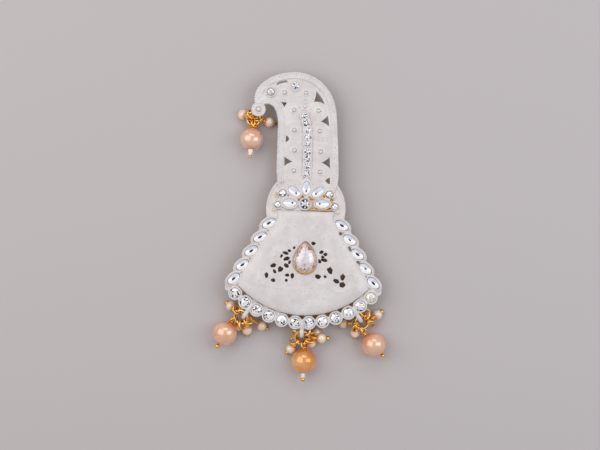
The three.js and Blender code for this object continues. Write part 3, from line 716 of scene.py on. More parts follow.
def rim_lug(degrees):
    """A thick neck and a standing loop at the rim, which the jump ring runs through."""
    a = math.radians(degrees)
    out = Vector((math.sin(a), -math.cos(a), 0))
    middle = place(LUG_REACH * out.x, LUG_REACH * out.y, FRONT - LUG_DROP)
    neck = wire("lug_neck", [place(radius * out.x, radius * out.y, FRONT + rise)
                             for radius, rise in LUG_NECK], LUG_NECK_WIRE)
    loop = [middle + (out * math.cos(t) + Vector((0, 0, math.sin(t)))) * LUG_LOOP_RADIUS * MM
            for t in round_angles(24)]
    return [neck, wire("lug_loop", loop, LUG_LOOP_WIRE, closed=True)]


raised += rim_lug(-LUG_AT) + rim_lug(0) + rim_lug(LUG_AT)
raised.append(flat_wire("hook_ring", turned(oval(HOOK_RING, HOOK_RING, 40), *HOOK),
                        FRONT + HOOK_RING_RISE, HOOK_RING_WIRE))
print("raised shapes:", len(raised))

# %% [markdown]
# ## Piercings
#
# A piercing saw cut curved triangles through the plume, a slit at its top, and small leaves
# through the fan. Each hole is drawn as an outline, and a prism over that outline is taken away
# from the flooded plate. Cutting before the flood would round the holes until small ones
# closed. The outlines are a little larger than the holes, since enamel narrows them.

# %% Piercings
PLUME_HOLES = [         # three corners of each, and how far each side bows out
    ((1.8, 45.9), (5.6, 45.1), (2.5, 49.6), (-0.45, 0.35, -0.2)),
    ((4.6, 38.7), (7.5, 37.1), (6.9, 40.8), (-0.15, 0.1, -0.2)),
    ((5.4, 23.5), (8.4, 21.4), (8.1, 25.5), (-0.25, 0, -0.25)),
    ((6.9, 16.8), (8.5, 15.6), (8.4, 17.9), (0.15, 0.1, 0.15)),
    ((-9.2, 43.5), (-8.3, 45.2), (-10.4, 45.3), (-0.1, 0.05, -0.15)),
    ((-8.3, 30.7), (-7.1, 31.8), (-8.2, 33.0), (0.25, 0.25, 0)),
    ((-8.4, 21.9), (-5.6, 23.5), (-8.5, 25.2), (-0.2, -0.2, 0)),
]
FAN_HOLES = [           # middle, length, width and turn of each
    (-3.8, -8.4, 0.7, 0.7, 0), (-5.6, -9.5, 1.1, 0.7, -40), (-6.9, -10.4, 2.2, 1.0, -22),
    (-8.5, -11.5, 1.3, 0.6, 70), (-6.4, -12.4, 2.3, 1.5, 10), (-5.4, -13.8, 1.3, 0.6, 75),
    (-6.5, -15.1, 1.7, 1.2, -35), (-8.7, -16.4, 2.1, 1.6, -55), (-11.3, -15.2, 1.9, 1.2, 25),
    (-10.8, -17.2, 1.5, 0.8, -45), (-13.6, -18.8, 1.7, 1.0, 90), (-6.1, -18.5, 1.7, 0.8, 10),
    (-4.1, -18.8, 2.0, 1.2, 80), (-11.2, -20.5, 1.5, 1.1, 0), (-6.4, -20.4, 0.8, 0.8, 0),
    (3.2, -6.6, 1.2, 1.2, 0), (6.2, -9.7, 1.5, 1.1, 20), (7.7, -10.5, 1.6, 1.1, 15),
    (6.9, -11.3, 1.2, 1.4, 0), (7.4, -12.6, 2.1, 1.1, -15), (5.8, -13.1, 1.7, 0.8, -65),
    (9.7, -16.4, 2.5, 1.9, 90), (5.3, -18.6, 1.6, 1.3, 0), (8.0, -18.7, 0.8, 0.8, 0),
    (12.0, -20.2, 2.4, 1.5, -25), (14.3, -18.8, 2.4, 1.5, 80), (14.3, -21.5, 2.0, 2.0, 0),
    (13.2, -2.6, 1.2, 0.9, -70), (16.7, -8.0, 1.9, 0.9, -70), (20.0, -13.0, 1.1, 0.8, -45),
]
PLUME_SLIT = [(-12.2, 51.85), (-11.2, 52.4), (-10.2, 52.75), (-9.2, 52.95), (-8.3, 53.0)]
SLIT_HALF = (0.08, -0.3)                 # from the slit's middle line to its lower side
CORNER_GROW, LEAF_GROW = 1.08, 0.55      # a share of a triangle, and millimetres of a leaf
LEAF_CUTS, LEAF_WANDER = 5, 0.26         # cuts of the saw to a leaf, and how far they stray
LONG_LEAF, LEAF_PINCH = 1.25, 0.35       # from this length to its width, a leaf's ends are pinched
PUNCH_DEPTH = 8


def bowed_triangle(*corners, bows, steps=5):
    """A triangle's outline whose sides bow outwards, each by its own amount."""
    middle = sum((Vector(c) for c in corners), Vector((0, 0))) / 3
    corners = [middle + CORNER_GROW * (Vector(c) - middle) for c in corners]
    points = []
    for k, bow in enumerate(bows):
        start, stop = corners[k], corners[(k + 1) % 3]
        side = stop - start
        aside = Vector((side.y, -side.x)).normalized()
        for i in range(steps):
            t = i / steps
            points.append(start + side * t + aside * 4 * bow * t * (1 - t))
    return points


def punch(outline):
    """A prism through the whole brooch over an outline of the drawing."""
    select_only()
    bpy.ops.mesh.primitive_cylinder_add(vertices=len(outline), radius=1,
                                        depth=PUNCH_DEPTH * MM)
    piece = bpy.context.object
    step = 2 * math.pi / len(outline)
    for vertex in piece.data.vertices:
        i = round((math.atan2(vertex.co.y, vertex.co.x) - math.pi / 2) / step) % len(outline)
        spot = place(*outline[i], FRONT)
        vertex.co.x, vertex.co.y, vertex.co.z = spot.x, spot.y, spot.z + vertex.co.z
    return piece


def discard(piece):
    bpy.data.objects.remove(piece)


def pierce(piece, outlines):
    """Cuts outlines right through a piece."""
    punches = join([punch(outline) for outline in outlines], "punches")
    apply_modifier(piece, "BOOLEAN", operation="DIFFERENCE", object=punches, solver="MANIFOLD")
    discard(punches)


def leaf_outline(x, y, length, width, degrees, chance):
    """A leaf as the saw leaves it: a few short cuts, none of them quite true."""
    pinch = LEAF_PINCH if length > LONG_LEAF * width else 0.0
    points = []
    for px, py in oval(length + LEAF_GROW, width + LEAF_GROW, LEAF_CUTS, pinch):
        stray = 1 + LEAF_WANDER * chance.uniform(-1, 1)
        points.append((px * stray, py * stray))
    return turned(points, x, y, degrees)


def slit_outline(line):
    """A narrow slit along a line: its lower side, and back along its upper one."""
    dx, dy = SLIT_HALF
    return [(x + dx, y + dy) for x, y in line] + [(x - dx, y - dy) for x, y in reversed(line)]


plume_piercings = [bowed_triangle(*hole[:3], bows=hole[3]) for hole in PLUME_HOLES]
plume_piercings.append(slit_outline(PLUME_SLIT))
saw = random.Random(8)
fan_piercings = [leaf_outline(*hole, saw) for hole in FAN_HOLES]
print("piercings:", len(plume_piercings), "in the plume,", len(fan_piercings), "in the fan")

# %% [markdown]
# Now the plate comes together: the copied solid with its raised work is flooded, pierced, and
# thinned to half of its faces. A fine voxel keeps the lips crisp, and thinning afterwards takes
# faces from the flats, where they show nothing.

# %% Plate
PLATE_VOXEL, PLATE_KEEP = 0.22, 0.5
plate = join([press_flat(merged_copy("base_plate", "enamelled_plate")), *raised],
             "enamelled_plate")
flood(plate, PLATE_VOXEL, 3)
pierce(plate, plume_piercings + fan_piercings)
apply_modifier(plate, "DECIMATE", ratio=PLATE_KEEP)
print("plate faces:", len(plate.data.polygons))

# %% [markdown]
# Between the petals the enamel was wiped off while wet, and the gilding shows. Gold pieces laid
# into the hollows would have hard rims. So the bare places are painted on the plate as an
# attribute, which the enamel reads: patches that fade out at their rims and with height, with
# the gold down in the hollows and never on the lips.

# %% Wiped patches
WIPED = [           # middle, reach and strength of each patch
    (-1.3, 11.0, 1.1, 1.0), (-2.6, 10.0, 1.1, 0.9), (3.0, 10.0, 1.9, 1.0), (5.4, 10.6, 1.3, 0.7),
    (7.0, 11.2, 1.2, 0.8), (9.4, 9.6, 1.2, 0.7), (8.9, 6.6, 1.2, 1.0), (2.2, 6.2, 1.2, 0.9),
    (4.4, 5.9, 1.3, 1.0), (6.6, 5.8, 1.3, 1.0), (8.4, 6.0, 1.2, 1.0), (-10.7, 10.8, 1.2, 0.4),
    (-10.9, 9.6, 0.9, 0.25), (1.7, 9.4, 0.9, 0.9), (9.6, 8.0, 0.8, 0.9),
    (-0.6, 10.3, 1.0, 0.8), (3.9, 9.0, 1.7, 1.0), (-3.2, 8.4, 1.0, 0.6), (-12.0, 5.6, 0.9, 0.3),
    (-0.2, -33.6, 1.4, 0.7), (4.8, -33.4, 1.5, 0.7), (9.6, -32.3, 1.5, 0.6),
    (-5.0, -33.3, 1.3, 0.5), (14.3, -30.5, 1.3, 0.5), (-26.0, -23.0, 1.0, 0.4),
]
GOLD_TOP, GOLD_FADE = 1.0, 0.4           # above the front no gold shows, and how it fades there
GOLD_SPREAD = 1.6                        # widens each patch's fully bare middle


def paint_wiped(piece):
    """Writes how bare the gilding lies at every point of the plate."""
    points = np.array([v.co for v in piece.data.vertices]) - np.array(DRAWING_MIDDLE)
    near = np.zeros(len(points))
    for x, y, reach, strength in WIPED:
        away = np.hypot(points[:, 0] / MM - x, points[:, 1] / MM - y) / reach
        near = np.maximum(near, strength * (1 - away ** 2))
    height = (points[:, 2] + DRAWING_MIDDLE.z) / MM
    low = np.clip((FRONT + GOLD_TOP - height) / GOLD_FADE, 0, 1)
    amounts = piece.data.attributes.new("bare_gilding", "FLOAT", "POINT")
    amounts.data.foreach_set("value", np.minimum(1, GOLD_SPREAD * near) * low)


paint_wiped(plate)
finish_piece(plate, ENAMEL, ["base_plate"], angle=50)
print("wiped patches:", len(WIPED))

# %% [markdown]
# ## Milgrain
#
# Milgrain is a row of tiny beads along an edge, rolled in with a wheel. One low bead is
# modelled and copied along the plume's edge, three rows deep: a coarse row outside, fine
# grains on the band, and a line of small ones inside. A short chain of grains also carries on
# the row of stones at its top. An array modifier could follow a curve, but it can't make each
# grain a little different, so the copies are placed in code. Hundreds of them are needed, so
# the bead has only a few dozen faces, and they are all put in one mesh.

# %% Beads in rows
CHAIN = [(-1.3, 48.2), (-1.75, 42.6)]    # low grains that carry on the row of stones
BAND = FRONT + 0.4                       # top of the raised band along the plume's edge
GRAIN_SINK = 0.22
MILGRAIN_ROWS = [       # how far in from the edge, spacing, radius, unevenness and seed
    (0.42, 0.84, 0.5, 0.08, 3), (1.25, 0.62, 0.32, 0.25, 5), (2.0, 0.7, 0.38, 0.1, 7),
]
CHAIN_ROW = (1.45, 0.55, FRONT + 0.1, 0.15, 9)     # spacing, radius, height, unevenness, seed


def bead_template():
    select_only()
    bpy.ops.mesh.primitive_uv_sphere_add(segments=8, ring_count=5, radius=1)
    return bpy.context.object


def copies(template, matrices, name):
    """Copies of a template's mesh at each matrix, all in one new mesh."""
    corners = np.array([(*v.co, 1) for v in template.data.vertices])
    faces = [list(p.vertices) for p in template.data.polygons]
    points, polygons = [], []
    for k, matrix in enumerate(matrices):
        points.extend((corners @ np.array(matrix).T)[:, :3])
        polygons.extend([v + k * len(corners) for v in face] for face in faces)
    mesh = bpy.data.meshes.new(name)
    mesh.from_pydata([tuple(p) for p in points], [], polygons)
    piece = bpy.data.objects.new(name, mesh)
    bpy.context.scene.collection.objects.link(piece)
    return piece


def bead_row(points, step, radius, height, jitter, seed):
    """Matrices of beads along a line of the drawing, their sizes uneven by a share."""
    chance = random.Random(seed)
    even, _ = spaced(points, step)
    rows = []
    for x, y in even:
        size = radius * (1 + jitter * chance.uniform(-1, 1))
        spot = place(x, y, height)
        rows.append(Matrix.Translation(spot) @ Matrix.Scale(size * MM, 4))
    return rows


milgrain = []
for edge in (outer_edge, inner_edge):
    for inset, step, radius, jitter, seed in MILGRAIN_ROWS:
        milgrain += bead_row(moved_in(edge, inset), step, radius, BAND - GRAIN_SINK, jitter, seed)
milgrain += bead_row(CHAIN, *CHAIN_ROW)
bead = bead_template()
milgrain_piece = copies(bead, milgrain, "plume_milgrain")
discard(bead)
finish_piece(milgrain_piece, BEADWORK_ENAMEL)
print("milgrain beads:", len(milgrain))

# %% [markdown]
# ## The domed panel
#
# The middle of the fan is a thin sheet, raised into a low pillow and sawn through with leaves
# beside the pear stone. A copy of its solid would do for the outline, but its face is too
# coarse for a soft roll. So it is made as a smith would: a flat grid is shaped, given
# thickness, flooded with enamel and pierced. The outlines of its holes are the ones that the
# plate behind was pierced with, so the two sets of holes meet.

# %% Panel sizes
PANEL_TOP, PANEL_RADIUS = 5.4, 33.3      # its upper edge, and the circle of its lower one
PANEL_EDGE, PANEL_CROWN = 0.5, 2.1       # heights of its face at the edge and inside
PANEL_ROLL, PANEL_TOP_ROLL = 5.5, 2.6    # how far in each edge rolls over
PANEL_LOW = -23.6                        # where its sides meet its lower edge
PANEL_SIDES = [(PANEL_TOP, 10.6), (3.0, 10.3), (-18.9, 23.1), (PANEL_LOW, 24.1)]
PANEL_BACK = 0.05                        # its flat back, just off the plate's front
PANEL_GRID, PANEL_VOXEL = (96, 84), 0.2


def panel_half(y):
    """Half of the panel's width at a height of the drawing."""
    heights = [h for h, _ in reversed(PANEL_SIDES)]
    halves = [w for _, w in reversed(PANEL_SIDES)]
    return float(np.interp(y, heights, halves))


def rolled(distance, roll):
    """From 0 at an edge to 1 at the end of its roll, round at the edge."""
    inwards = min(max(distance / roll, 0), 1)
    return math.sqrt(1 - (1 - inwards) ** 2)


def panel_face(x, y):
    """Height of the panel's face: rolled over at every edge, then flat."""
    reach = panel_half(max(y, PANEL_LOW))
    bottom = -math.sqrt(max(0.0, PANEL_RADIUS ** 2 - x * x))
    share = (rolled(reach - abs(x), PANEL_ROLL) * rolled(PANEL_TOP - y, PANEL_TOP_ROLL)
             * rolled(y - bottom, PANEL_ROLL))
    return FRONT + PANEL_GAP + PANEL_EDGE + (PANEL_CROWN - PANEL_EDGE) * share


print("panel: upper edge", 2 * panel_half(PANEL_TOP), "mm wide, lower", 2 * panel_half(PANEL_LOW))

# %% Panel blank
def panel_blank():
    """A grid laid over the panel's outline, raised to its face and given a flat back."""
    select_only()
    bpy.ops.mesh.primitive_grid_add(x_subdivisions=PANEL_GRID[0],
                                    y_subdivisions=PANEL_GRID[1], size=2)
    piece = bpy.context.object
    piece.name = "fan_panel_dome"
    widest = panel_half(PANEL_LOW)
    for vertex in piece.data.vertices:
        s, t = vertex.co.x, (1 - vertex.co.y) / 2
        bottom = -math.sqrt(PANEL_RADIUS ** 2 - (s * widest) ** 2)
        y = PANEL_TOP + (bottom - PANEL_TOP) * t
        x = s * panel_half(PANEL_TOP + (PANEL_LOW - PANEL_TOP) * t)
        vertex.co = place(x, y, panel_face(x, y))
    select_only(piece)
    bpy.ops.object.mode_set(mode="EDIT")
    bpy.ops.mesh.select_all(action="SELECT")
    bpy.ops.mesh.extrude_region_move()
    bpy.ops.object.mode_set(mode="OBJECT")
    for vertex in piece.data.vertices:
        if vertex.select:
            vertex.co.z = (FRONT + PANEL_BACK) * MM
    select_only(piece)
    bpy.ops.object.mode_set(mode="EDIT")
    bpy.ops.mesh.select_all(action="SELECT")
    bpy.ops.mesh.normals_make_consistent(inside=False)
    bpy.ops.object.mode_set(mode="OBJECT")
    return piece


panel = panel_blank()
print("panel blank:", len(panel.data.vertices), "vertices")

# %% [markdown]
# Faint scrolls and veins stand up from the panel round the leaves. A bump in the finish would
# be lighter, but wouldn't catch the light from the side as they do. So thin wires are laid just
# into the face, and the flood of enamel leaves only soft ridges of them.

# %% Scrolls, holes and the finished panel
def face_wire(points, radius, sink):
    """Wire laid into the panel's face along points of the drawing."""
    spots = [place(x, y, panel_face(x, y) - sink) for x, y in points]
    return wire("scroll", spots, radius, closed=False)


def arc(x, y, radius, start, stop, squash=1.0):
    """Points of an arc from one angle to another, flattened by squash."""
    steps = max(6, abs(stop - start) // 8)
    return [(x + radius * math.cos(math.radians(start + (stop - start) * i / steps)),
             y + radius * squash * math.sin(math.radians(start + (stop - start) * i / steps)))
            for i in range(steps + 1)]


scrolls = [
    arc(-12.6, -19.4, 4.0, 150, 285, 0.85), arc(-9.4, -20.0, 4.2, 225, 300, 0.8),
    arc(13.4, -20.4, 4.4, 215, 355, 0.85), arc(17.0, -19.6, 2.2, -20, 150),
    arc(-8.0, -13.4, 3.6, 100, 205), arc(7.6, -12.0, 3.0, -60, 80),
    arc(-4.8, -19.2, 2.6, 200, 330), arc(6.2, -18.6, 2.8, 210, 320),
    arc(-13.6, -21.9, 0.7, 0, 360), arc(4.4, -1.4, 1.5, -60, 200), arc(-6.8, -1.6, 1.3, 20, 250),
]
BUD, STEM = arc(7.4, -17.2, 0.5, 0, 360), [(8.7, -15.4), (9.3, -14.9), (9.9, -14.3)]
SCROLL_WIRE, STEM_WIRE = 0.3, 0.32
SCROLL_SINK, BUD_SINK = 0.08, 0.05
ridges = [face_wire(points, SCROLL_WIRE, SCROLL_SINK) for points in scrolls]
ridges += [face_wire(BUD, SCROLL_WIRE, BUD_SINK), face_wire(STEM, STEM_WIRE, BUD_SINK)]

panel = join([panel, *ridges], "fan_panel_dome")
flood(panel, PANEL_VOXEL, 3)
pierce(panel, fan_piercings)
flood(panel, PANEL_VOXEL, 1, keep=0.8)
finish_piece(panel, ENAMEL, ["fan_panel"], angle=50)
print("panel faces:", len(panel.data.polygons))

# %% [markdown]
# ## Cut stones
#
# The stones are foil-backed glass: a mirror behind the glass throws light back, so most facets
# flash white and a few, turned towards something dark, look black. Real refraction would need
# thousands of light paths for stones this small, so the glass is modelled as its facets, each
# a polished surface under a clear coat with a painted tone: white for its flash, dark for a
# dark reflection. A stone is cut as a lapidary cuts it, from a round blank: first a narrow
# girdle, then steps that are each smaller and turned by half a facet. They leave skewed quads
# that split into the kite and star facets of a brilliant.

# %% Cutting
CUT_DEPTH, CULET = 0.9, 0.3      # of the cone under the girdle: its depth, and its tip's share
PAST_SEAM = 0.1                  # so that no facet's middle lies where the angle starts again


def cut_stone(name, sides, steps):
    """A stone of unit radius: a table, steps of facets above the girdle, a cone below it.
    Each step tells its size, its rise, and whether it is turned by half a facet."""
    select_only()
    bpy.ops.mesh.primitive_circle_add(vertices=sides, radius=1, fill_type="NGON")
    piece = bpy.context.object
    piece.name = name
    bpy.ops.object.mode_set(mode="EDIT")
    bpy.ops.mesh.select_all(action="SELECT")
    size, height = 1.0, 0.0
    for wanted, lift, twist in steps:
        height += lift
        bpy.ops.mesh.extrude_region_move(TRANSFORM_OT_translate={"value": (0, 0, lift)})
        bpy.ops.transform.resize(value=(wanted / size, wanted / size, 1))
        if twist:
            bpy.ops.transform.rotate(value=math.pi / sides, orient_axis="Z",
                                     center_override=(0, 0, height))
        size = wanted
    bpy.ops.mesh.select_all(action="DESELECT")
    bpy.ops.mesh.select_non_manifold()
    bpy.ops.mesh.extrude_region_move(TRANSFORM_OT_translate={"value": (0, 0, -CUT_DEPTH)})
    bpy.ops.transform.resize(value=(CULET, CULET, 1))
    bpy.ops.mesh.edge_face_add()
    bpy.ops.mesh.select_all(action="DESELECT")
    bpy.ops.mesh.select_face_by_sides(number=4)
    bpy.ops.mesh.quads_convert_to_tris(quad_method="SHORTEST_DIAGONAL")
    bpy.ops.mesh.select_all(action="SELECT")
    bpy.ops.mesh.normals_make_consistent(inside=False)
    bpy.ops.object.mode_set(mode="OBJECT")
    return piece


def facet_order(polygon):
    """From the base upwards and round each step. Operators leave facets in an order that may
    change from run to run, and tones drawn by chance have to fall on the same ones."""
    middle = polygon.center
    angle = math.atan2(middle.y, middle.x) + PAST_SEAM
    return round(middle.z, 3), round(angle % (2 * math.pi), 3)


def paint_facet_reflections(piece, tone_of):
    """Paints every facet's tone, which stands for its flash or its shade: tone_of gets the facet's
    middle, with the radius as 1.
    """
    tones = piece.data.color_attributes.new("painted_facet_reflection", "FLOAT_COLOR", "CORNER")
    for polygon in sorted(piece.data.polygons, key=facet_order):
        middle = polygon.center
        colour = linear(tone_of(math.hypot(middle.x, middle.y), middle.z, middle))
        for corner in polygon.loop_indices:
            tones.data[corner].color = colour


def shape_stone(piece, outline_at, x, y, height, turn, crown, table=(1, 1, 0)):
    """Draws a unit stone out to its outline and sets it in place. Crown is its height above
    the girdle; table is what its topmost facet is scaled by in length and width, and how far
    it is shifted along."""
    top = max(v.co.z for v in piece.data.vertices)
    c, s = math.cos(math.radians(turn)), math.sin(math.radians(turn))
    for vertex in piece.data.vertices:
        radius, angle = math.hypot(vertex.co.x, vertex.co.y), math.atan2(vertex.co.y, vertex.co.x)
        along, across = outline_at(angle)
        along, across = along * radius, across * radius
        if vertex.co.z > top - 1e-6:
            along, across = along * table[0] + table[2], across * table[1]
        lift = vertex.co.z * (crown / top if vertex.co.z > 0 else 1.0)
        spot = place(x + along * c - across * s, y + along * s + across * c, height + lift)
        vertex.co = spot
    return piece


def oval_at(length, width, pinch):
    """An oval as a function of the angle, for shaping a stone."""
    return lambda angle: oval_point(angle, length, width, pinch)


def pear_at(length, width):
    """A pear as a function of the angle; a stone's angles start a quarter turn from its tip."""
    return lambda angle: pear_point(angle - math.pi / 2, length, width)

# %% [markdown]
# Glass over foil could be a transparent shell with a mirror under it, but the light would have
# to find its way in and out of every facet. One opaque, glossy finish that takes each facet's
# painted tone gives the same flash at once.

# %% Glass material
def glass_material(name, metallic=0.35, roughness=0.08, glow=0.12, coat=1.0):
    """Foil-backed glass: the facet's painted tone, polished, under a clear coat. The little glow
    is a painted glow, an emission that stands for the light that the foil throws back from every
    side."""
    material, tree, output = new_material(name)
    tone = add_node(tree, "Attribute", attribute_name="painted_facet_reflection")
    where = add_node(tree, "TexCoord").outputs["Object"]
    foil = add_node(tree, "TexNoise", {"Vector": where, "Scale": per_mm(0.9), "Detail": 1.0})
    worn = add_node(tree, "MapRange", {"Value": foil.outputs["Fac"],
                                       "To Min": 0.88, "To Max": 1.1})
    colour = add_node(tree, "Mix", {"Factor": 1.0, 6: tone.outputs["Color"],
                                    7: worn.outputs["Result"]},
                      data_type="RGBA", blend_type="MULTIPLY")
    shader = add_node(tree, "BsdfPrincipled", {
        "Base Color": colour.outputs[2], "Metallic": metallic, "Roughness": roughness,
        "IOR": 1.55, "Coat Weight": coat, "Coat Roughness": 0.02,
        "Emission Color": colour.outputs[2], "Emission Strength": glow})
    tree.links.new(shader.outputs["BSDF"], output.inputs["Surface"])
    return material


# Cut crystal: sharp facets with their painted flash, a small painted glow, and a clear polish over
# all of them.
CRYSTAL = glass_material("foil_backed_cut_crystal")
# Moulded glass, for the smooth navettes and petals: softer, milkier, with a broad shine and a
# painted glow.
SMOOTH_GLASS = glass_material("foil_backed_smooth_glass", 0.15, 0.3, 0.16, 0.35)
# Champagne glass: soft facets that keep their warm tone under a fainter shine, with a faint painted
# glow.
CHAMPAGNE = glass_material("foil_backed_champagne_glass", 0.2, 0.22, 0.1, 0.45)
print("made", CRYSTAL.name, "and", SMOOTH_GLASS.name, "and", CHAMPAGNE.name)

# %% [markdown]
# Each kind of stone gets its own rule for painted tones, which stand for the light and shade in
# it. Round brilliants are painted white for their flash, with a few dark star facets as dark
# reflections. A navette is a smooth boat of glass whose keel is painted as a dark dash, with one
# flank painted silver as its shaded side. A petal shows only a painted dark dot, towards the
# flower's heart. A thin grey ring at the girdle is the painted shadow between glass and metal.
# Chance picks the dark facets of a brilliant, from a fixed start for each stone, because a rule
# would make them all alike.

# %% Tones
# Painted tones: white and silver for flashes, cool and greys for shaded facets and the shadow at
# the girdle, black for dark reflections.
WHITE, SILVER, COOL, PEARL_GREY = "#fdfdff", "#e4e6ec", "#ccced8", "#b4b9c3"
STEEL, BLACK = "#8f9299", "#0e0f13"
GIRDLE = 0.9             # past this share of the radius lies the shadow at the girdle
STAR_RING, TABLE_SPOT = 0.66, 0.2        # shares of the radius: the outer facets, the middle


def brilliant_tones(seed, dark_share=0.24, outline=STEEL):
    """Painted reflections: white facets, some silver, and a few black ones, mostly in the ring
    round the table; outline is the painted shadow at the girdle.
    """
    chance = random.Random(seed)

    def tone_of(radius, height, middle):
        if height < 0.0 or radius > GIRDLE:
            return outline
        draw = chance.random()
        if radius > STAR_RING:
            return BLACK if draw < 0.5 * dark_share else (COOL if draw < 0.3 else WHITE)
        if radius > TABLE_SPOT:
            return BLACK if draw < dark_share else WHITE
        return WHITE
    return tone_of


def dull_tones(radius, height, middle):
    """A stone whose foil has gone: cream, with a tan painted shadow at the girdle and faint painted
    stripes of flash.
    """
    if height < 0.0 or radius > GIRDLE:
        return "#a89a88"
    return "#d8d0c5" if math.sin(5 * middle.x + 9 * middle.y) > 0.3 else "#f1ece4"


def flower_tones(petals, reach=0.68):
    """Painted reflections: a ring of narrow dark facets round a white middle, as many as petals,
    and a grey painted shadow at the girdle.
    """
    def tone_of(radius, height, middle):
        if height < 0.0 or radius > GIRDLE:
            return STEEL
        if TABLE_SPOT < radius < reach and math.cos(petals * math.atan2(middle.y, middle.x)) > 0:
            return BLACK
        return WHITE if radius < 0.7 else SILVER
    return tone_of


def stud_tones(radius, height, middle):
    """A tiny stone, dull with enamel: pale, darker in one quarter, in a grey ring of painted
    shadow.
    """
    if height < 0.0 or radius > 0.8:
        return "#8f8a86"
    return "#c3bcb8" if middle.x > 0.2 and middle.y < 0 else "#e4dfde"


def boat_tones(turn):
    """A smooth boat of glass in painted light: painted shade on the flank that looks up the brooch,
    white on the other, a painted dark reflection on the keel, and a grey painted shadow at the
    girdle."""
    c, s = math.cos(math.radians(turn)), math.sin(math.radians(turn))

    def tone_of(radius, height, middle):
        if height > BOAT_TOP - 0.001:
            return BLACK
        if height < 0.0 or radius > GIRDLE:
            return STEEL
        return COOL if middle.x * s + middle.y * c > 0.15 else WHITE
    return tone_of

# %% [markdown]
# Setting a stone brings it all together: it is cut at unit size, toned facet by facet, drawn
# out to its outline, and put in its seat at the turn that the seat has. Nearly all rounds are
# brilliants. One at the rim has lost its foil, and one is darker than the rest.

# %% Round, navette and petal stones
ROUND_STEPS = [(0.95, 0.05, 0), (0.70, 0.30, 1), (0.40, 0.17, 1)]
BOAT_STEPS = [(0.93, 0.04, 0), (0.68, 0.22, 1), (0.24, 0.15, 1)]
PETAL_STEPS = [(0.885, 0.05, 0), (0.66, 0.21, 1), (0.24, 0.15, 1)]
BOAT_TOP = sum(step[1] for step in BOAT_STEPS)
PETAL_LIFT = 0.12        # the petals stand this much higher in their lips
DASH, SHORT_DASH, DOT = (1.45, 0.95), (0.95, 0.6), (0.55, 0.8)   # of the keel facet
DOT_SHIFT = 1.0
ROUND_CROWN, BOAT_CROWN = 0.34, 0.75     # a share of the half width, and millimetres
DULL_STONE, DARK_STONE = "rim_stone_12", "rim_stone_3"
SHORT_KEELS = ("edge_stone_right_2", "edge_stone_right_4")


def set_round(node, seat, tones, sides=10):
    piece = cut_stone(node + "_glass", sides, ROUND_STEPS)
    paint_facet_reflections(piece, tones)
    size = seat["size"][0]
    shape_stone(piece, oval_at(size, size, 0), seat["x"], seat["y"], seat["girdle"],
                seat["turn"], ROUND_CROWN * size / 2)
    return finish_piece(piece, CRYSTAL, [node], angle=1)


def set_boat(node, seat, keel, shift=0.0, steps=BOAT_STEPS, lift=0.0):
    piece = cut_stone(node + "_glass", 16, steps)
    paint_facet_reflections(piece, boat_tones(seat["turn"]))
    shape_stone(piece, oval_at(*seat["size"], seat["pinch"]), seat["x"], seat["y"],
                seat["girdle"] + lift, seat["turn"], BOAT_CROWN, (*keel, shift))
    return finish_piece(piece, SMOOTH_GLASS, [node], angle=50)


for number, (node, seat) in enumerate(seats.items()):
    if node == DULL_STONE:
        set_round(node, seat, dull_tones)
    elif node.startswith("rim"):
        dark_share = 0.42 if node == DARK_STONE else 0.26
        set_round(node, seat, brilliant_tones(20 + number, dark_share))
    elif node == "neck_centre_stone":
        set_round(node, seat, flower_tones(6, 0.88), 12)
    elif node.startswith("neck_round"):
        set_round(node, seat, brilliant_tones(60 + number, 0.2), 8)
    elif node.startswith("edge"):
        set_boat(node, seat, SHORT_DASH if node in SHORT_KEELS else DASH)
    else:
        to_heart = 1 if seat["x"] < 0 and seat["turn"] < 45 else -1
        set_boat(node, seat, DOT, to_heart * DOT_SHIFT, PETAL_STEPS, PETAL_LIFT)
print("stones set:", len(seats))

# %% [markdown]
# ## The pear stone in its gilt setting
#
# The pear is the one large coloured stone: champagne glass, pale in the middle, its rim facets
# catching brown and gold. It sits in a gilt bezel whose inner edge is rubbed over the glass.
#
# First comes the gilding, a skin of gold a few thousandths of a millimetre thick, laid on the
# brass by electricity. A single gold colour looks like plastic. So the plate is painted deeper
# in colour where parts meet, as painted shade, and has faint cloudy tarnish; both are read
# here from the shape itself.

# %% Gilding
RUBBED_TONE = "#c0a89f"          # the greyish rose of plate that is nearly worn through
WEAR_RUN, RUBBED_ABOVE = 3, 0.7  # how long the change takes, and where it starts on the bezel


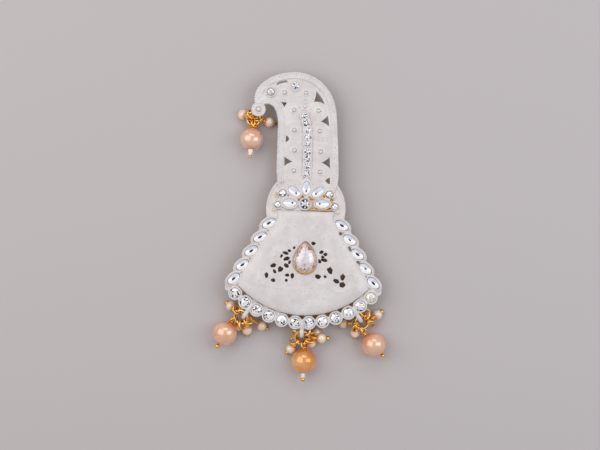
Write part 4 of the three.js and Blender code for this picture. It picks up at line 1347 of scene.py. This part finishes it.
def gilt_material(name, light, deep, worn_above=None):
    """Gold plate: polished metal, its colour deepened in corners by painted shade. Given a height
    of the drawing, the plate is rubbed thin above it and turns a greyish rose."""
    material, tree, output = new_material(name)
    where = add_node(tree, "TexCoord").outputs["Object"]
    cloud = add_node(tree, "TexNoise", {"Vector": where, "Scale": per_mm(1.6), "Detail": 2.0})
    # Painted shade: the occlusion node deepens the gold in corners and between wires.
    corner = add_node(tree, "AmbientOcclusion", {"Distance": 0.6 * MM}, samples=8)
    painted_shade = add_node(tree, "MapRange", {"Value": corner.outputs["AO"], "From Min": 0.2,
                                          "From Max": 0.85, "To Min": 1.0, "To Max": 0.0})
    tarnish = add_node(tree, "MapRange", {"Value": cloud.outputs["Fac"], "From Min": 0.4,
                                          "From Max": 0.75, "To Min": 0.0, "To Max": 0.35})
    # The gold is deepened by the larger of the painted shade and the tarnish.
    depth = add_node(tree, "Math", {0: painted_shade.outputs["Result"], 1: tarnish.outputs["Result"]},
                     operation="MAXIMUM")
    colour = add_node(tree, "Mix", {"Factor": depth.outputs["Value"], 6: linear(light),
                                    7: linear(deep)}, data_type="RGBA")
    if worn_above is not None:
        along = add_node(tree, "SeparateXYZ", {"Vector": where}).outputs["Y"]
        start = place(0, worn_above).y
        rubbed = add_node(tree, "MapRange", {"Value": along, "From Min": start,
                                             "From Max": start + WEAR_RUN * MM})
        colour = add_node(tree, "Mix", {"Factor": rubbed.outputs["Result"],
                                        6: colour.outputs[2], 7: linear(RUBBED_TONE)},
                          data_type="RGBA")
    gloss = add_node(tree, "MapRange", {"Value": cloud.outputs["Fac"],
                                        "To Min": 0.16, "To Max": 0.32})
    shader = add_node(tree, "BsdfPrincipled", {
        "Base Color": colour.outputs[2], "Metallic": 1.0, "Roughness": gloss.outputs["Result"]})
    tree.links.new(shader.outputs["BSDF"], output.inputs["Surface"])
    return material


# Thick polished plate: a warm yellow, painted orange in the shade between the wires.
GILT = gilt_material("polished_gold_plate", "#ffca66", "#d4821f")
# Thin plate, for the jump rings: paler and cooler, the base metal showing through.
PALE_GILT = gilt_material("thin_gold_plate", "#ffe0a4", "#e2a14a")
# The bezel's plate: still gold at its foot, dull rose along the sides that fingers touch.
RUBBED_GILT = gilt_material("rubbed_rose_gold_plate", "#f3b45a", "#b8742c",
                            PEAR["y"] - PEAR["length"] / 2 + RUBBED_ABOVE)
print("made", GILT.name, "and", PALE_GILT.name, "and", RUBBED_GILT.name)

# %% [markdown]
# Under the flower the casting ends in a low edge that stays bare of enamel and shines as a
# short gold line. It is a piece of wire of its own, since its finish stops sharply.

# %% Bare edge under the flower
EDGE_LINE = [(1.4, 6.0), (3.0, 5.85), (5.6, 5.8), (8.0, 5.85), (9.6, 6.05)]
EDGE_RISE, EDGE_WIRE = 0.42, 0.3
edge_line = flat_wire("neck_bare_edge", EDGE_LINE, FRONT + EDGE_RISE, EDGE_WIRE, closed=False)
finish_piece(edge_line, PALE_GILT, angle=60)
print("bare edge:", len(edge_line.data.vertices), "vertices")

# %% [markdown]
# The bezel is a strip of metal bent round the stone. Its solid has the strip; a thin wire at
# the top becomes the rubbed-over edge and a thick one the foot, and a very fine voxel skin
# melts them together. Bevelling the solid's edges would leave the foot too plain.

# %% Pear bezel
BEZEL_RIMS = (          # how much smaller than the pear, how far below the bezel's top, radius
    (0.35, 0.12, 0.17), (-0.3, 1.0, 0.3),
)
BEZEL_VOXEL = 0.13
pear_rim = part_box("pear_setting")[1].z / MM
bezel = merged_copy("pear_setting", "pear_bezel")
rims = []
for inset, drop, thick in BEZEL_RIMS:
    outline = pear(PEAR["length"] - inset, PEAR["width"] - inset)
    rims.append(flat_wire("bezel_rim", turned(outline, PEAR["x"], PEAR["y"]), pear_rim - drop,
                          thick))
bezel = join([bezel, *rims], "pear_bezel")
flood(bezel, BEZEL_VOXEL, 3)
finish_piece(bezel, RUBBED_GILT, ["pear_setting"], angle=60)
print("bezel faces:", len(bezel.data.polygons))

# %% [markdown]
# The pear is cut in five steps of eighteen facets. Its tones lie in rings, the glass's own
# champagne with painted light over it: mostly brown at the rim, rose and cream further in, and a
# painted white flash in the middle, where the foil shines through. Chance picks among the tones
# of each ring.

# %% Pear stone
PEAR_PAVILION = "#b58f76"
PEAR_TONES = [          # outside a share of the radius: the shares and colours of its facets
    (0.9, (0.4, "#a89184"), (0.6, "#ccb7aa")),
    (0.7, (0.14, "#957d70"), (0.38, "#c2ada2"), (0.48, "#dccdc6")),
    (0.45, (0.1, "#b09c92"), (0.4, "#d8cbca"), (0.5, "#e6dde0")),
    (-1, (0.3, "#ddd3da"), (0.7, "#ebe4ea")),
]


def pear_tones(seed):
    """Champagne glass with painted light: brown and rose facets at the rim, pale ones inside, a
    painted white flash within.
    """
    chance = random.Random(seed)

    def tone_of(radius, height, middle):
        if height < 0.0:
            return PEAR_PAVILION
        colours = next(ring[1:] for ring in PEAR_TONES if radius > ring[0])
        draw = chance.random()
        for share, colour in colours:
            draw -= share
            if draw < 0:
                return colour
        return colours[-1][1]
    return tone_of


PEAR_STEPS = [(0.93, 0.06, 0), (0.80, 0.18, 1), (0.62, 0.14, 1), (0.38, 0.12, 1), (0.16, 0.05, 1)]
pear_glass = cut_stone("pear_glass", 18, PEAR_STEPS)
paint_facet_reflections(pear_glass, pear_tones(12))
PEAR_INSET, PEAR_SINK, PEAR_CROWN = 0.75, 0.15, 1.2
shape_stone(pear_glass, pear_at(PEAR["length"] - PEAR_INSET, PEAR["width"] - PEAR_INSET),
            PEAR["x"], PEAR["y"], pear_rim - PEAR_SINK, 0, PEAR_CROWN)
finish_piece(pear_glass, CHAMPAGNE, ["pear_stone"], angle=1)
print("pear facets:", len(pear_glass.data.polygons))

# %% [markdown]
# ## The plume's row of stones, and its studs
#
# Nine small brilliants run up the plume in a channel. Three of them are flower-cut, with a
# painted ring of dark reflections round a bright middle. Each could be a piece of its own, but
# they share one finish and one solid, so the row is one piece made of separately cut stones.

# %% Row of stones
ROW_COUNT, ROW_START, ROW_PITCH, ROW_STONE = 9, 19.3, 2.66, 2.75
ROW_FLOWERS = (1, 4, 8)
ROW_FOOT, ROW_BEND_FROM, ROW_BEND = -0.05, 31.5, 0.0195
ROW_SINK, SMALL_CROWN = 0.45, 0.36       # the crown as a share of the half width
row_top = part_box("plume_stone_row")[1].z / MM


def small_stone(x, y, height, size, tones, sides=10, turn=0.0):
    piece = cut_stone("small_stone", sides, ROUND_STEPS)
    paint_facet_reflections(piece, tones)
    return shape_stone(piece, oval_at(size, size, 0), x, y, height, turn, SMALL_CROWN * size / 2)


def row_x(y):
    """Where the row runs: straight at its foot, then leaning to the left in a parabola."""
    past = max(0.0, y - ROW_BEND_FROM)
    return ROW_FOOT - ROW_BEND * past * past


row_heights = [ROW_START + i * ROW_PITCH for i in range(ROW_COUNT)]
row = []
for i, y in enumerate(row_heights):
    flower = i in ROW_FLOWERS
    tones = flower_tones(6) if flower else brilliant_tones(200 + i, 0.5, PEARL_GREY)
    row.append(small_stone(row_x(y), y, row_top - ROW_SINK, ROW_STONE, tones,
                           12 if flower else 9, 20.0 * i))
row_piece = join(row, "plume_row_glass")
finish_piece(row_piece, CRYSTAL, ["plume_stone_row"], angle=1)
print("stones in the row:", len(row_heights))

# %% [markdown]
# Each stone of the row stands in a thin cup between two rails, all under enamel. They could be
# part of the plate, but its voxels are too coarse for wire this thin, so they are one piece of
# wires on top of it, in the brighter enamel of the beadwork.

# %% Cups of the row
CUP_GROW, CUP_SINK, CUP_WIRE = 0.3, 0.6, 0.24
RAIL_ASIDE, RAIL_WIRE, RAIL_RISE = 1.35, 0.36, 0.12
FLOOR_WIRE, FLOOR_SINK = 1.05, 0.35
ROW_PAST = 1.0           # the rails run on past the first and the last stone

cups = []
for y in row_heights:
    cup = turned(oval(ROW_STONE + CUP_GROW, ROW_STONE + CUP_GROW, 28), row_x(y), y)
    cups.append(flat_wire("cup", cup, row_top - CUP_SINK, CUP_WIRE))
line = [(row_x(y), y)
        for y in np.linspace(row_heights[0] - ROW_PAST, row_heights[-1] + ROW_PAST, 30)]
for sign in (-1, 1):
    rail = [(x + sign * RAIL_ASIDE, y) for x, y in line]
    cups.append(flat_wire("rail", rail, FRONT + RAIL_RISE, RAIL_WIRE, closed=False))
cups.append(flat_wire("row_floor", line, FRONT - FLOOR_SINK, FLOOR_WIRE, closed=False))
print("cups, rails and floor:", len(cups))
finish_piece(join(cups, "row_cups"), BEADWORK_ENAMEL, angle=60)

# %% [markdown]
# Ten tiny stones dot the lobes, cloudy with enamel that was never quite wiped off. Two larger
# ones sit in the curl: one flower-cut, the other as dull as the tiny ones. Together they are
# one piece. The stone at the curl's tip is warmer than they are, so it gets a piece and a
# finish of its own.

# %% Studs
TINY_STONE, TINY_HEIGHT, CURL_HEIGHT = 1.5, 0.5, 0.62
CLUSTER_STONE, BOSS_STONE, HOOK_STONE, HOOK_HEIGHT = 3.4, 3.1, 2.1, 0.66

studs = [small_stone(x, y, FRONT + TINY_HEIGHT, TINY_STONE, stud_tones, 8, 15.0 * i)
         for i, (x, y) in enumerate(LOBES)]
cluster, boss = STUDS[0], STUDS[1]
studs += [small_stone(*cluster[:2], FRONT + CURL_HEIGHT, CLUSTER_STONE, flower_tones(6), 12, 20.0),
          small_stone(*boss[:2], FRONT + CURL_HEIGHT, BOSS_STONE, stud_tones, 12)]
print("studs:", len(studs), "and one at the curl's tip")
finish_piece(join(studs, "plume_studs"), CRYSTAL, angle=1)

hook_stone = small_stone(*HOOK, FRONT + HOOK_HEIGHT, HOOK_STONE, pear_tones(5), 8)
hook_stone.name = "hook_stud"
finish_piece(hook_stone, CHAMPAGNE, angle=1)

# %% [markdown]
# ## Pearls on headpins
#
# Each pearl hangs on a headpin: wire that ends in a small ball below the pearl, and above it
# turns in a loop and is wrapped round its own neck. Eighteen places and directions could be
# written down by hand, but the solids already hold them, so each drop is measured. The ball on
# which most of its points lie is the pearl, the far end near the jump ring is the loop, and the
# direction in which the loop is flattest is its axis.

# %% Measuring a drop
def node_points(node):
    """The corners of a solid, each told once."""
    points = np.array([v.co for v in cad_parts[node].data.vertices])
    return np.unique(points.round(7), axis=0)


def flattest(points):
    """The direction in which points spread least."""
    return Vector(np.linalg.svd(points - points.mean(axis=0))[2][2]).normalized()


def measure_ring(drop):
    """A jump ring's middle and its axis."""
    points = node_points("jump_ring_" + drop)
    return Vector(points.mean(axis=0)), flattest(points)


EYE_END = 1.2            # from a loop's middle to its far end, on the solids
TRIES = 1500             # fours of points that are drawn in the search for a pearl
FLAT_FOUR = 0.05         # a four whose span is less is too flat to fix a ball
ON_BALL = 0.005          # a point this near to a ball agrees with it
END_BAND, LOOP_BAND = 0.05, 0.1          # what counts as a loop's far end, and as the loop

# Degrees, seen from above, by which a pin has swung about its pearl from where it was drawn.
# The pearl stays in its place, and the loop still hangs on its ring.
SWUNG = {
    "pearl_drop_left": 7, "pearl_drop_centre": -8, "pearl_drop_right": 7,
    "small_pearl_left_1": 12, "small_pearl_left_2": 29, "small_pearl_left_3": -24,
    "small_pearl_left_4": -9, "small_pearl_right_1": 10, "small_pearl_right_4": 28,
}


def find_ball(points):
    """The ball on which most points lie. Four points fix a ball, so fours are drawn by chance,
    and the ball that most of all the points agree with is the pearl."""
    chance = np.random.default_rng(4)
    fours = points[chance.integers(len(points), size=(TRIES, 4))]
    spans = fours[:, 1:] - fours[:, :1]
    fours = fours[np.abs(np.linalg.det(spans)) > FLAT_FOUR]
    spans = fours[:, 1:] - fours[:, :1]
    squares = (fours ** 2).sum(axis=2)
    middles = np.linalg.solve(2 * spans, (squares[:, 1:] - squares[:, :1])[..., None])[..., 0]
    radii = np.linalg.norm(fours[:, 0] - middles, axis=1)
    away = np.linalg.norm(points[None] - middles[:, None], axis=2)
    agree = (np.abs(away - radii[:, None]) < ON_BALL).sum(axis=1)
    return middles[agree.argmax()], radii[agree.argmax()]


def measure_drop(node, ring_middle):
    """A drop's pearl, the line it hangs along and its loop's axis. The point farthest from
    the pearl on the ring's side is the loop's far end."""
    points = node_points(node) / MM
    middle, radius = find_ball(points)
    upper = points[(points - middle) @ (np.array(ring_middle) / MM - middle) > 0]
    away = np.linalg.norm(upper - middle, axis=1)
    end = upper[away > away.max() - END_BAND].mean(axis=0)
    length = np.linalg.norm(end - middle)
    axis = (middle - end) / length
    reach = length - EYE_END
    loop = points[(middle - points) @ axis > reach - LOOP_BAND]
    swing = Matrix.Rotation(math.radians(SWUNG.get(node, 0)), 3, "Z")
    return {"pearl": Vector(middle) * MM, "radius": radius, "axis": swing @ Vector(axis),
            "reach": reach, "loop_axis": swing @ flattest(loop)}


drops = {}
for drop in ("hook", "left", "centre", "right"):
    ring_middle, ring_axis = measure_ring(drop)
    kinds = ("pearl_drop_" + drop, "small_pearl_" + drop)
    names = [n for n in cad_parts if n.startswith(kinds)]
    drops[drop] = {"ring": (ring_middle, ring_axis),
                   "pearls": {n: measure_drop(n, ring_middle) for n in sorted(names)}}
    print(drop, {n: (round(d["radius"], 2), round(d["reach"], 2))
                 for n, d in drops[drop]["pearls"].items()})

# %% [markdown]
# A headpin is drawn along its own line: the loop's middle is zero and the pearl lies along X.
# One wire runs from the pearl up to the loop, round it, and back in a coil over its own neck.
# Each pin could be bent in place, but eighteen of them lie in eighteen directions, so all are
# drawn alike along X, in millimetres, and a matrix then turns each into its own place.

# %% Headpin line
EYE_RADIUS, EYE_WIRE = 1.03, 0.31
EYE_SHIFT = 0.1                          # the loop ends this far beside its start
COIL_RADIUS, COIL_PITCH, COIL_START = 0.46, 0.56, 0.35
FEWEST_TURNS, MOST_TURNS = 1.2, 3.5
INTO_PEARL = 0.3                         # how far the wire runs into the pearl, unseen
NECK_END = 0.25                          # from the loop to where the neck starts to bend


def headpin_line(reach, radius):
    """Points of the bent wire, in millimetres, from the pearl round the loop and the neck."""
    neck = reach - radius
    points = [(neck + INTO_PEARL, 0, 0), (EYE_RADIUS + NECK_END, 0, 0)]
    for i in range(25):
        a = 2 * math.pi * i / 24
        points.append((EYE_RADIUS * math.cos(a), EYE_SHIFT * i / 24, EYE_RADIUS * math.sin(a)))
    room = (neck - EYE_RADIUS - COIL_START) / COIL_PITCH
    turns = max(FEWEST_TURNS, min(MOST_TURNS, room))
    for i in range(round(12 * turns) + 1):
        a = 2 * math.pi * i / 12
        points.append((EYE_RADIUS + COIL_START + COIL_PITCH * i / 12,
                       COIL_RADIUS * math.cos(a), COIL_RADIUS * math.sin(a)))
    return points


def drop_matrix(drop):
    """Turns a drop's own line, in millimetres, into its place in the frame."""
    x_axis = drop["axis"]
    y_axis = (drop["loop_axis"] - drop["loop_axis"].dot(x_axis) * x_axis).normalized()
    z_axis = x_axis.cross(y_axis)
    turn = Matrix((x_axis, y_axis, z_axis)).transposed().to_4x4()
    origin = drop["pearl"] - x_axis * drop["reach"] * MM
    return Matrix.Translation(origin) @ turn @ Matrix.Scale(MM, 4)

# %% Beads on a drop's line
TUBE_SIDES, TUBE_EDGE = 24, 0.16


def ball(x, radius, segments):
    """A round bead on a drop's line, its poles on the wire."""
    select_only()
    bpy.ops.mesh.primitive_uv_sphere_add(segments=segments, ring_count=segments // 2,
                                         radius=radius, location=(x, 0, 0),
                                         rotation=(0, math.pi / 2, 0))
    return settle(bpy.context.object)


def tube(start, length, radius, end_radius):
    """A straight or tapered bead along a drop's line."""
    select_only()
    bpy.ops.mesh.primitive_cone_add(vertices=TUBE_SIDES, radius1=radius, radius2=end_radius,
                                    depth=length, location=(start + length / 2, 0, 0),
                                    rotation=(0, math.pi / 2, 0))
    piece = settle(bpy.context.object)
    apply_modifier(piece, "BEVEL", width=TUBE_EDGE, segments=3)
    return piece


def put(piece, matrix):
    """Moves a piece that was drawn along a drop's line into its place."""
    piece.data.transform(matrix)
    return piece


# %% [markdown]
# Below its pearl a pin ends in a ball, melted from the wire's own tip. Some pins have a small
# bead above that ball, of shell or of gilt. They differ from drop to drop, so a table tells how
# each of them ends, and the plain small pins share one ending.

# %% Pin endings
# How each pin ends beyond its pearl, in millimetres: a bare stretch of wire, a small bead
# (its length and two radii, and its material) and the ball at the tip.
ENDS = {
    "pearl_drop_hook": {"bare": 0.0, "bead": (2.0, 1.15, 0.62), "ball": 0.6},
    "pearl_drop_left": {"bare": 0.4, "bead": None, "ball": 0.9},
    "pearl_drop_centre": {"bare": 0.0, "bead": (1.7, 0.8, 0.8), "ball": 0.8},
    "pearl_drop_right": {"bare": 0.2, "bead": None, "ball": 0.8},
    "small_pearl_hook_2": {"bare": 0.0, "bead": (1.5, 0.68, 0.68), "ball": 0.45},
}
GILT_BEADS = ("small_pearl_hook_2",)
PLAIN_END = {"bare": 0.0, "bead": None, "ball": 0.9}
SUNK = 0.7               # how far a ball's middle lies beyond what it holds, by its own radius
BALL_SLACK = 0.97        # keeps a ball clear of the surface by a hair
TAIL_WIRE = 0.22
BEAD_SINK = 0.15         # how far a bead is sunk into its pearl


def ball_room(drop, x):
    """The largest ball at a place on a drop's line that stays clear of the surface below."""
    height = drop["pearl"].z / MM + drop["axis"].z * (x - drop["reach"])
    return BALL_SLACK * height / (1 - SUNK * drop["axis"].z)


def headpin(name, drop, end):
    """The bent wire and the ball at its tip, as one piece, and the bead above it, if any.
    Wire radii are in millimetres here too, so they are divided by the scale of wire()."""
    bent = wire("bent", [Vector(p) for p in headpin_line(drop["reach"], drop["radius"])],
                EYE_WIRE / MM, closed=False)
    skin = drop["reach"] + drop["radius"]
    length = end["bead"][0] if end["bead"] else 0.0
    held = skin + end["bare"] + length
    ball_radius = min(end["ball"], ball_room(drop, held))
    tip = held + SUNK * ball_radius
    tail = wire("tail", [Vector((skin - INTO_PEARL, 0, 0)), Vector((tip, 0, 0))],
                TAIL_WIRE / MM, closed=False)
    piece = join([bent, tail, ball(tip, ball_radius, 16)], name)
    matrix = drop_matrix(drop)
    bead = None
    if end["bead"]:
        bead = put(tube(skin - BEAD_SINK, length + BEAD_SINK, *end["bead"][1:]), matrix)
        bead.name = name + "_bead"
    return put(piece, matrix), bead


print("endings told one by one:", len(ENDS))

# %% [markdown]
# ## Pearl coats
#
# These are imitation pearls: glass beads dipped many times in pearl essence. The large ones
# are peach with a metallic depth, the small ones cream and more chalky. The coat is glossy and
# slightly lumpy, so that reflections waver, and near the drill holes it is painted a deeper
# orange as the reflection of the gilt wire. Scattering light under the skin would be truer to
# pearl but is slow and lost on beads this small. A coat of clear gloss over a soft sheen gives
# the same lit rim.

# %% Pearl materials
def pearl_material(name, light, deep, thick, metallic, rough):
    """Light and deep cloud over each other; thick is the colour of the gilt wire's painted
    reflection near the drill holes, and the tint of the sheen.
    """
    material, tree, output = new_material(name)
    where = add_node(tree, "TexCoord").outputs["Object"]
    cloud = add_node(tree, "TexNoise", {"Vector": where, "Scale": per_mm(3.5), "Detail": 2.0,
                                        "Distortion": 0.6})
    part = add_node(tree, "MapRange", {"Value": cloud.outputs["Fac"], "From Min": 0.35,
                                       "From Max": 0.68})
    coat = add_node(tree, "Mix", {"Factor": part.outputs["Result"], 6: linear(light),
                                  7: linear(deep)}, data_type="RGBA")
    # Painted reflection of the gilt wire: a deeper orange near each drill hole, read from the mesh.
    wire_reflection = add_node(tree, "Attribute", attribute_name="painted_wire_reflection")
    colour = add_node(tree, "Mix", {"Factor": wire_reflection.outputs["Fac"], 6: coat.outputs[2],
                                    7: linear(thick)}, data_type="RGBA")
    lumps = add_node(tree, "TexNoise", {"Vector": where, "Scale": per_mm(1.4), "Detail": 1.0})
    bump = add_node(tree, "Bump", {"Height": lumps.outputs["Fac"], "Strength": 0.12,
                                   "Distance": 0.05 * MM})
    shader = add_node(tree, "BsdfPrincipled", {
        "Base Color": colour.outputs[2], "Metallic": metallic, "Roughness": rough,
        "Normal": bump.outputs["Normal"], "IOR": 1.6, "Coat Weight": 1.0, "Coat Roughness": 0.03,
        "Sheen Weight": 1.0, "Sheen Roughness": 0.35, "Sheen Tint": linear(thick)})
    tree.links.new(shader.outputs["BSDF"], output.inputs["Surface"])
    return material


# Peach, rose and copper: warm, a little metallic, each a shade of the same essence.
PEACH = pearl_material("pearl_essence_peach", "#fbd0b0", "#f5b48c", "#dc7440", 0.22, 0.2)
ROSE = pearl_material("pearl_essence_rose", "#fad6c2", "#f5bca0", "#e07450", 0.22, 0.2)
COPPER = pearl_material("pearl_essence_copper", "#ffc684", "#f59a44", "#cc5c1c", 0.3, 0.16)
# Cream and shell white, for the small pearls: chalkier and hardly metallic.
CREAM = pearl_material("pearl_essence_cream", "#fff4e0", "#fae2c2", "#e08c44", 0.06, 0.25)
SHELL = pearl_material("pearl_essence_shell_white", "#fff2e6", "#fbe0d0", "#e38c68", 0.06, 0.25)
print("made", ", ".join(m.name for m in (PEACH, ROSE, COPPER, CREAM, SHELL)))

# %% [markdown]
# A pearl is a ball with its poles on the wire, so that its drill holes are easy to find: the
# points near the poles are pressed in. The gilt wire's painted reflection near each end is
# written on the mesh as an attribute, because it follows each pearl's own line and not the way
# the brooch lies.

# %% Pearls
HOLE_REACH, HOLE_WIDTH, HOLE_DEPTH = 0.9, 0.45, 0.25   # the first is a share of the radius
REFLECTION_UPPER, REFLECTION_LOWER = 0.35, 0.8       # where the painted reflection starts, towards the loop and towards the tip
REFLECTION_MOST, REFLECTION_CURVE = 0.9, 1.3


def pearl_on_pin(name, drop, material, node, segments):
    """A pearl with dimples at its drill holes."""
    piece = ball(drop["reach"], drop["radius"], segments)
    for vertex in piece.data.vertices:
        away = abs(vertex.co.x - drop["reach"]) / drop["radius"]
        aside = math.hypot(vertex.co.y, vertex.co.z)
        if away > HOLE_REACH and aside < HOLE_WIDTH:
            depth = HOLE_DEPTH * (1 - aside / HOLE_WIDTH)
            vertex.co.x -= math.copysign(depth, vertex.co.x - drop["reach"])
    # The gilt wire's painted reflection: strongest at each drill hole, reaching further towards the
    # loop.
    wire_reflection = piece.data.attributes.new("painted_wire_reflection", "FLOAT", "POINT")
    for vertex, amount in zip(piece.data.vertices, wire_reflection.data):
        along = (vertex.co.x - drop["reach"]) / drop["radius"]
        start = REFLECTION_UPPER if along < 0 else REFLECTION_LOWER
        share = max(0.0, (abs(along) - start) / (1 - start))
        amount.value = REFLECTION_MOST * share ** REFLECTION_CURVE
    piece.name = name
    put(piece, drop_matrix(drop))
    return finish_piece(piece, material, [node], angle=60)


for drop_name, group in drops.items():
    for node, drop in group["pearls"].items():
        large = node.startswith("pearl_drop")
        pin, bead = headpin(node + "_headpin", drop, ENDS.get(node, PLAIN_END))
        finish_piece(pin, GILT, angle=60)
        if bead:
            gilt = node in GILT_BEADS
            finish_piece(bead, GILT if gilt else SHELL)
        if large:
            coat = {"centre": COPPER, "hook": ROSE}.get(drop_name, PEACH)
            pearl_on_pin(node + "_pearl", drop, coat, node, 64)
        else:
            coat = SHELL if drop_name == "hook" else CREAM
            pearl_on_pin(node + "_pearl", drop, coat, node, 36)
print("pearls:", sum(len(group["pearls"]) for group in drops.values()))

# %% [markdown]
# ## Jump rings
#
# A jump ring is a turn of thick wire, closed with pliers. Its two cut ends meet but never
# quite vanish. A torus would have no ends at all, so the wire is drawn as an open turn with its
# ends pushed together. The four rings that carry the drops have thinner plate and look paler
# than the wire of the pins. They are a little wider than their solids, as they lie round the
# loops that hang on them.

# %% Bending a ring
RING_RADIUS, RING_WIRE = 2.55, 0.45
RING_GAP, RING_SHIFT = 4, 0.12           # between its ends: degrees, and millimetres aside
RING_START = 200                         # degrees round the ring to its gap


def jump_ring(name, middle, axis, start, radius=RING_RADIUS, thick=RING_WIRE):
    side = axis.orthogonal().normalized()
    other = axis.cross(side)
    points = []
    for i in range(49):
        a = math.radians(start + RING_GAP / 2 + (360 - RING_GAP) * i / 48)
        lift = RING_SHIFT * (i / 48 - 0.5)
        points.append(middle + (side * math.cos(a) * radius + other * math.sin(a) * radius
                                + axis * lift) * MM)
    return wire(name, points, thick, closed=False, sides=3)


print("wire in a jump ring:", round(2 * math.pi * RING_RADIUS, 1), "mm")

# %% [markdown]
# Between the pins, smaller loose loops crowd on each ring and make its tangle of wire. They
# have fallen over one way or the other. Each could be laid by hand, but no eye follows one of
# them, so chance tilts them, from a fixed start for each drop. Every drop gets its ring first,
# and then the loops that ride on it.

# %% Rings and spare loops
# How many there are, and how far the middle of each lies from the middle of its ring.
SPARE_LOOPS = {"hook": (6, 1.9), "left": (5, 3.1), "centre": (5, 3.1), "right": (5, 3.1)}
SPARE_RADIUS, SPARE_WIRE = 1.5, 0.4
SPARE_TILT = 1.2         # how far they have fallen over: the slope of their axes
UP = Vector((0, 0, 1))


def spare_loops(middle, axis, count, reach, seed):
    """Small loops that ride on a jump ring and have fallen over, one way or the other."""
    chance = random.Random(seed)
    side = axis.orthogonal().normalized()
    other = axis.cross(side)
    loops = []
    for i in range(count):
        a = 2 * math.pi * (i + 0.5 * chance.random()) / count
        out = side * math.cos(a) + other * math.sin(a)
        tilt = SPARE_TILT * chance.uniform(0.6, 1.2) * chance.choice((-1, 1))
        centre = middle + out * reach * MM
        facing = (axis.cross(out) + tilt * UP).normalized()
        loops.append(jump_ring("loop", centre, facing, 90 * i, SPARE_RADIUS, SPARE_WIRE))
    return loops


for number, (drop_name, group) in enumerate(drops.items()):
    ring = jump_ring("jump_ring_wire_" + drop_name, *group["ring"], RING_START)
    finish_piece(ring, PALE_GILT, ["jump_ring_" + drop_name], angle=60)
    loops = spare_loops(*group["ring"], *SPARE_LOOPS[drop_name], 40 + number)
    finish_piece(join(loops, "spare_loops_" + drop_name), GILT, angle=60)
    print("loops on the ring", drop_name, "-", len(loops))

# %% [markdown]
# ## The pin behind
#
# The pin isn't seen when the brooch is worn: a block at each end under the plate, and the wire
# between them. Its solid has the right shape, and only its edges are too sharp. A bevel would
# have to find its way round the hinge, so it gets the same voxel skin as the enamel, but finer.

# %% Pin
PIN_VOXEL = 0.16
pin = merged_copy("back_pin", "back_pin_gilt")
flood(pin, PIN_VOXEL, 2, keep=0.6)
finish_piece(pin, GILT, ["back_pin"], angle=50)
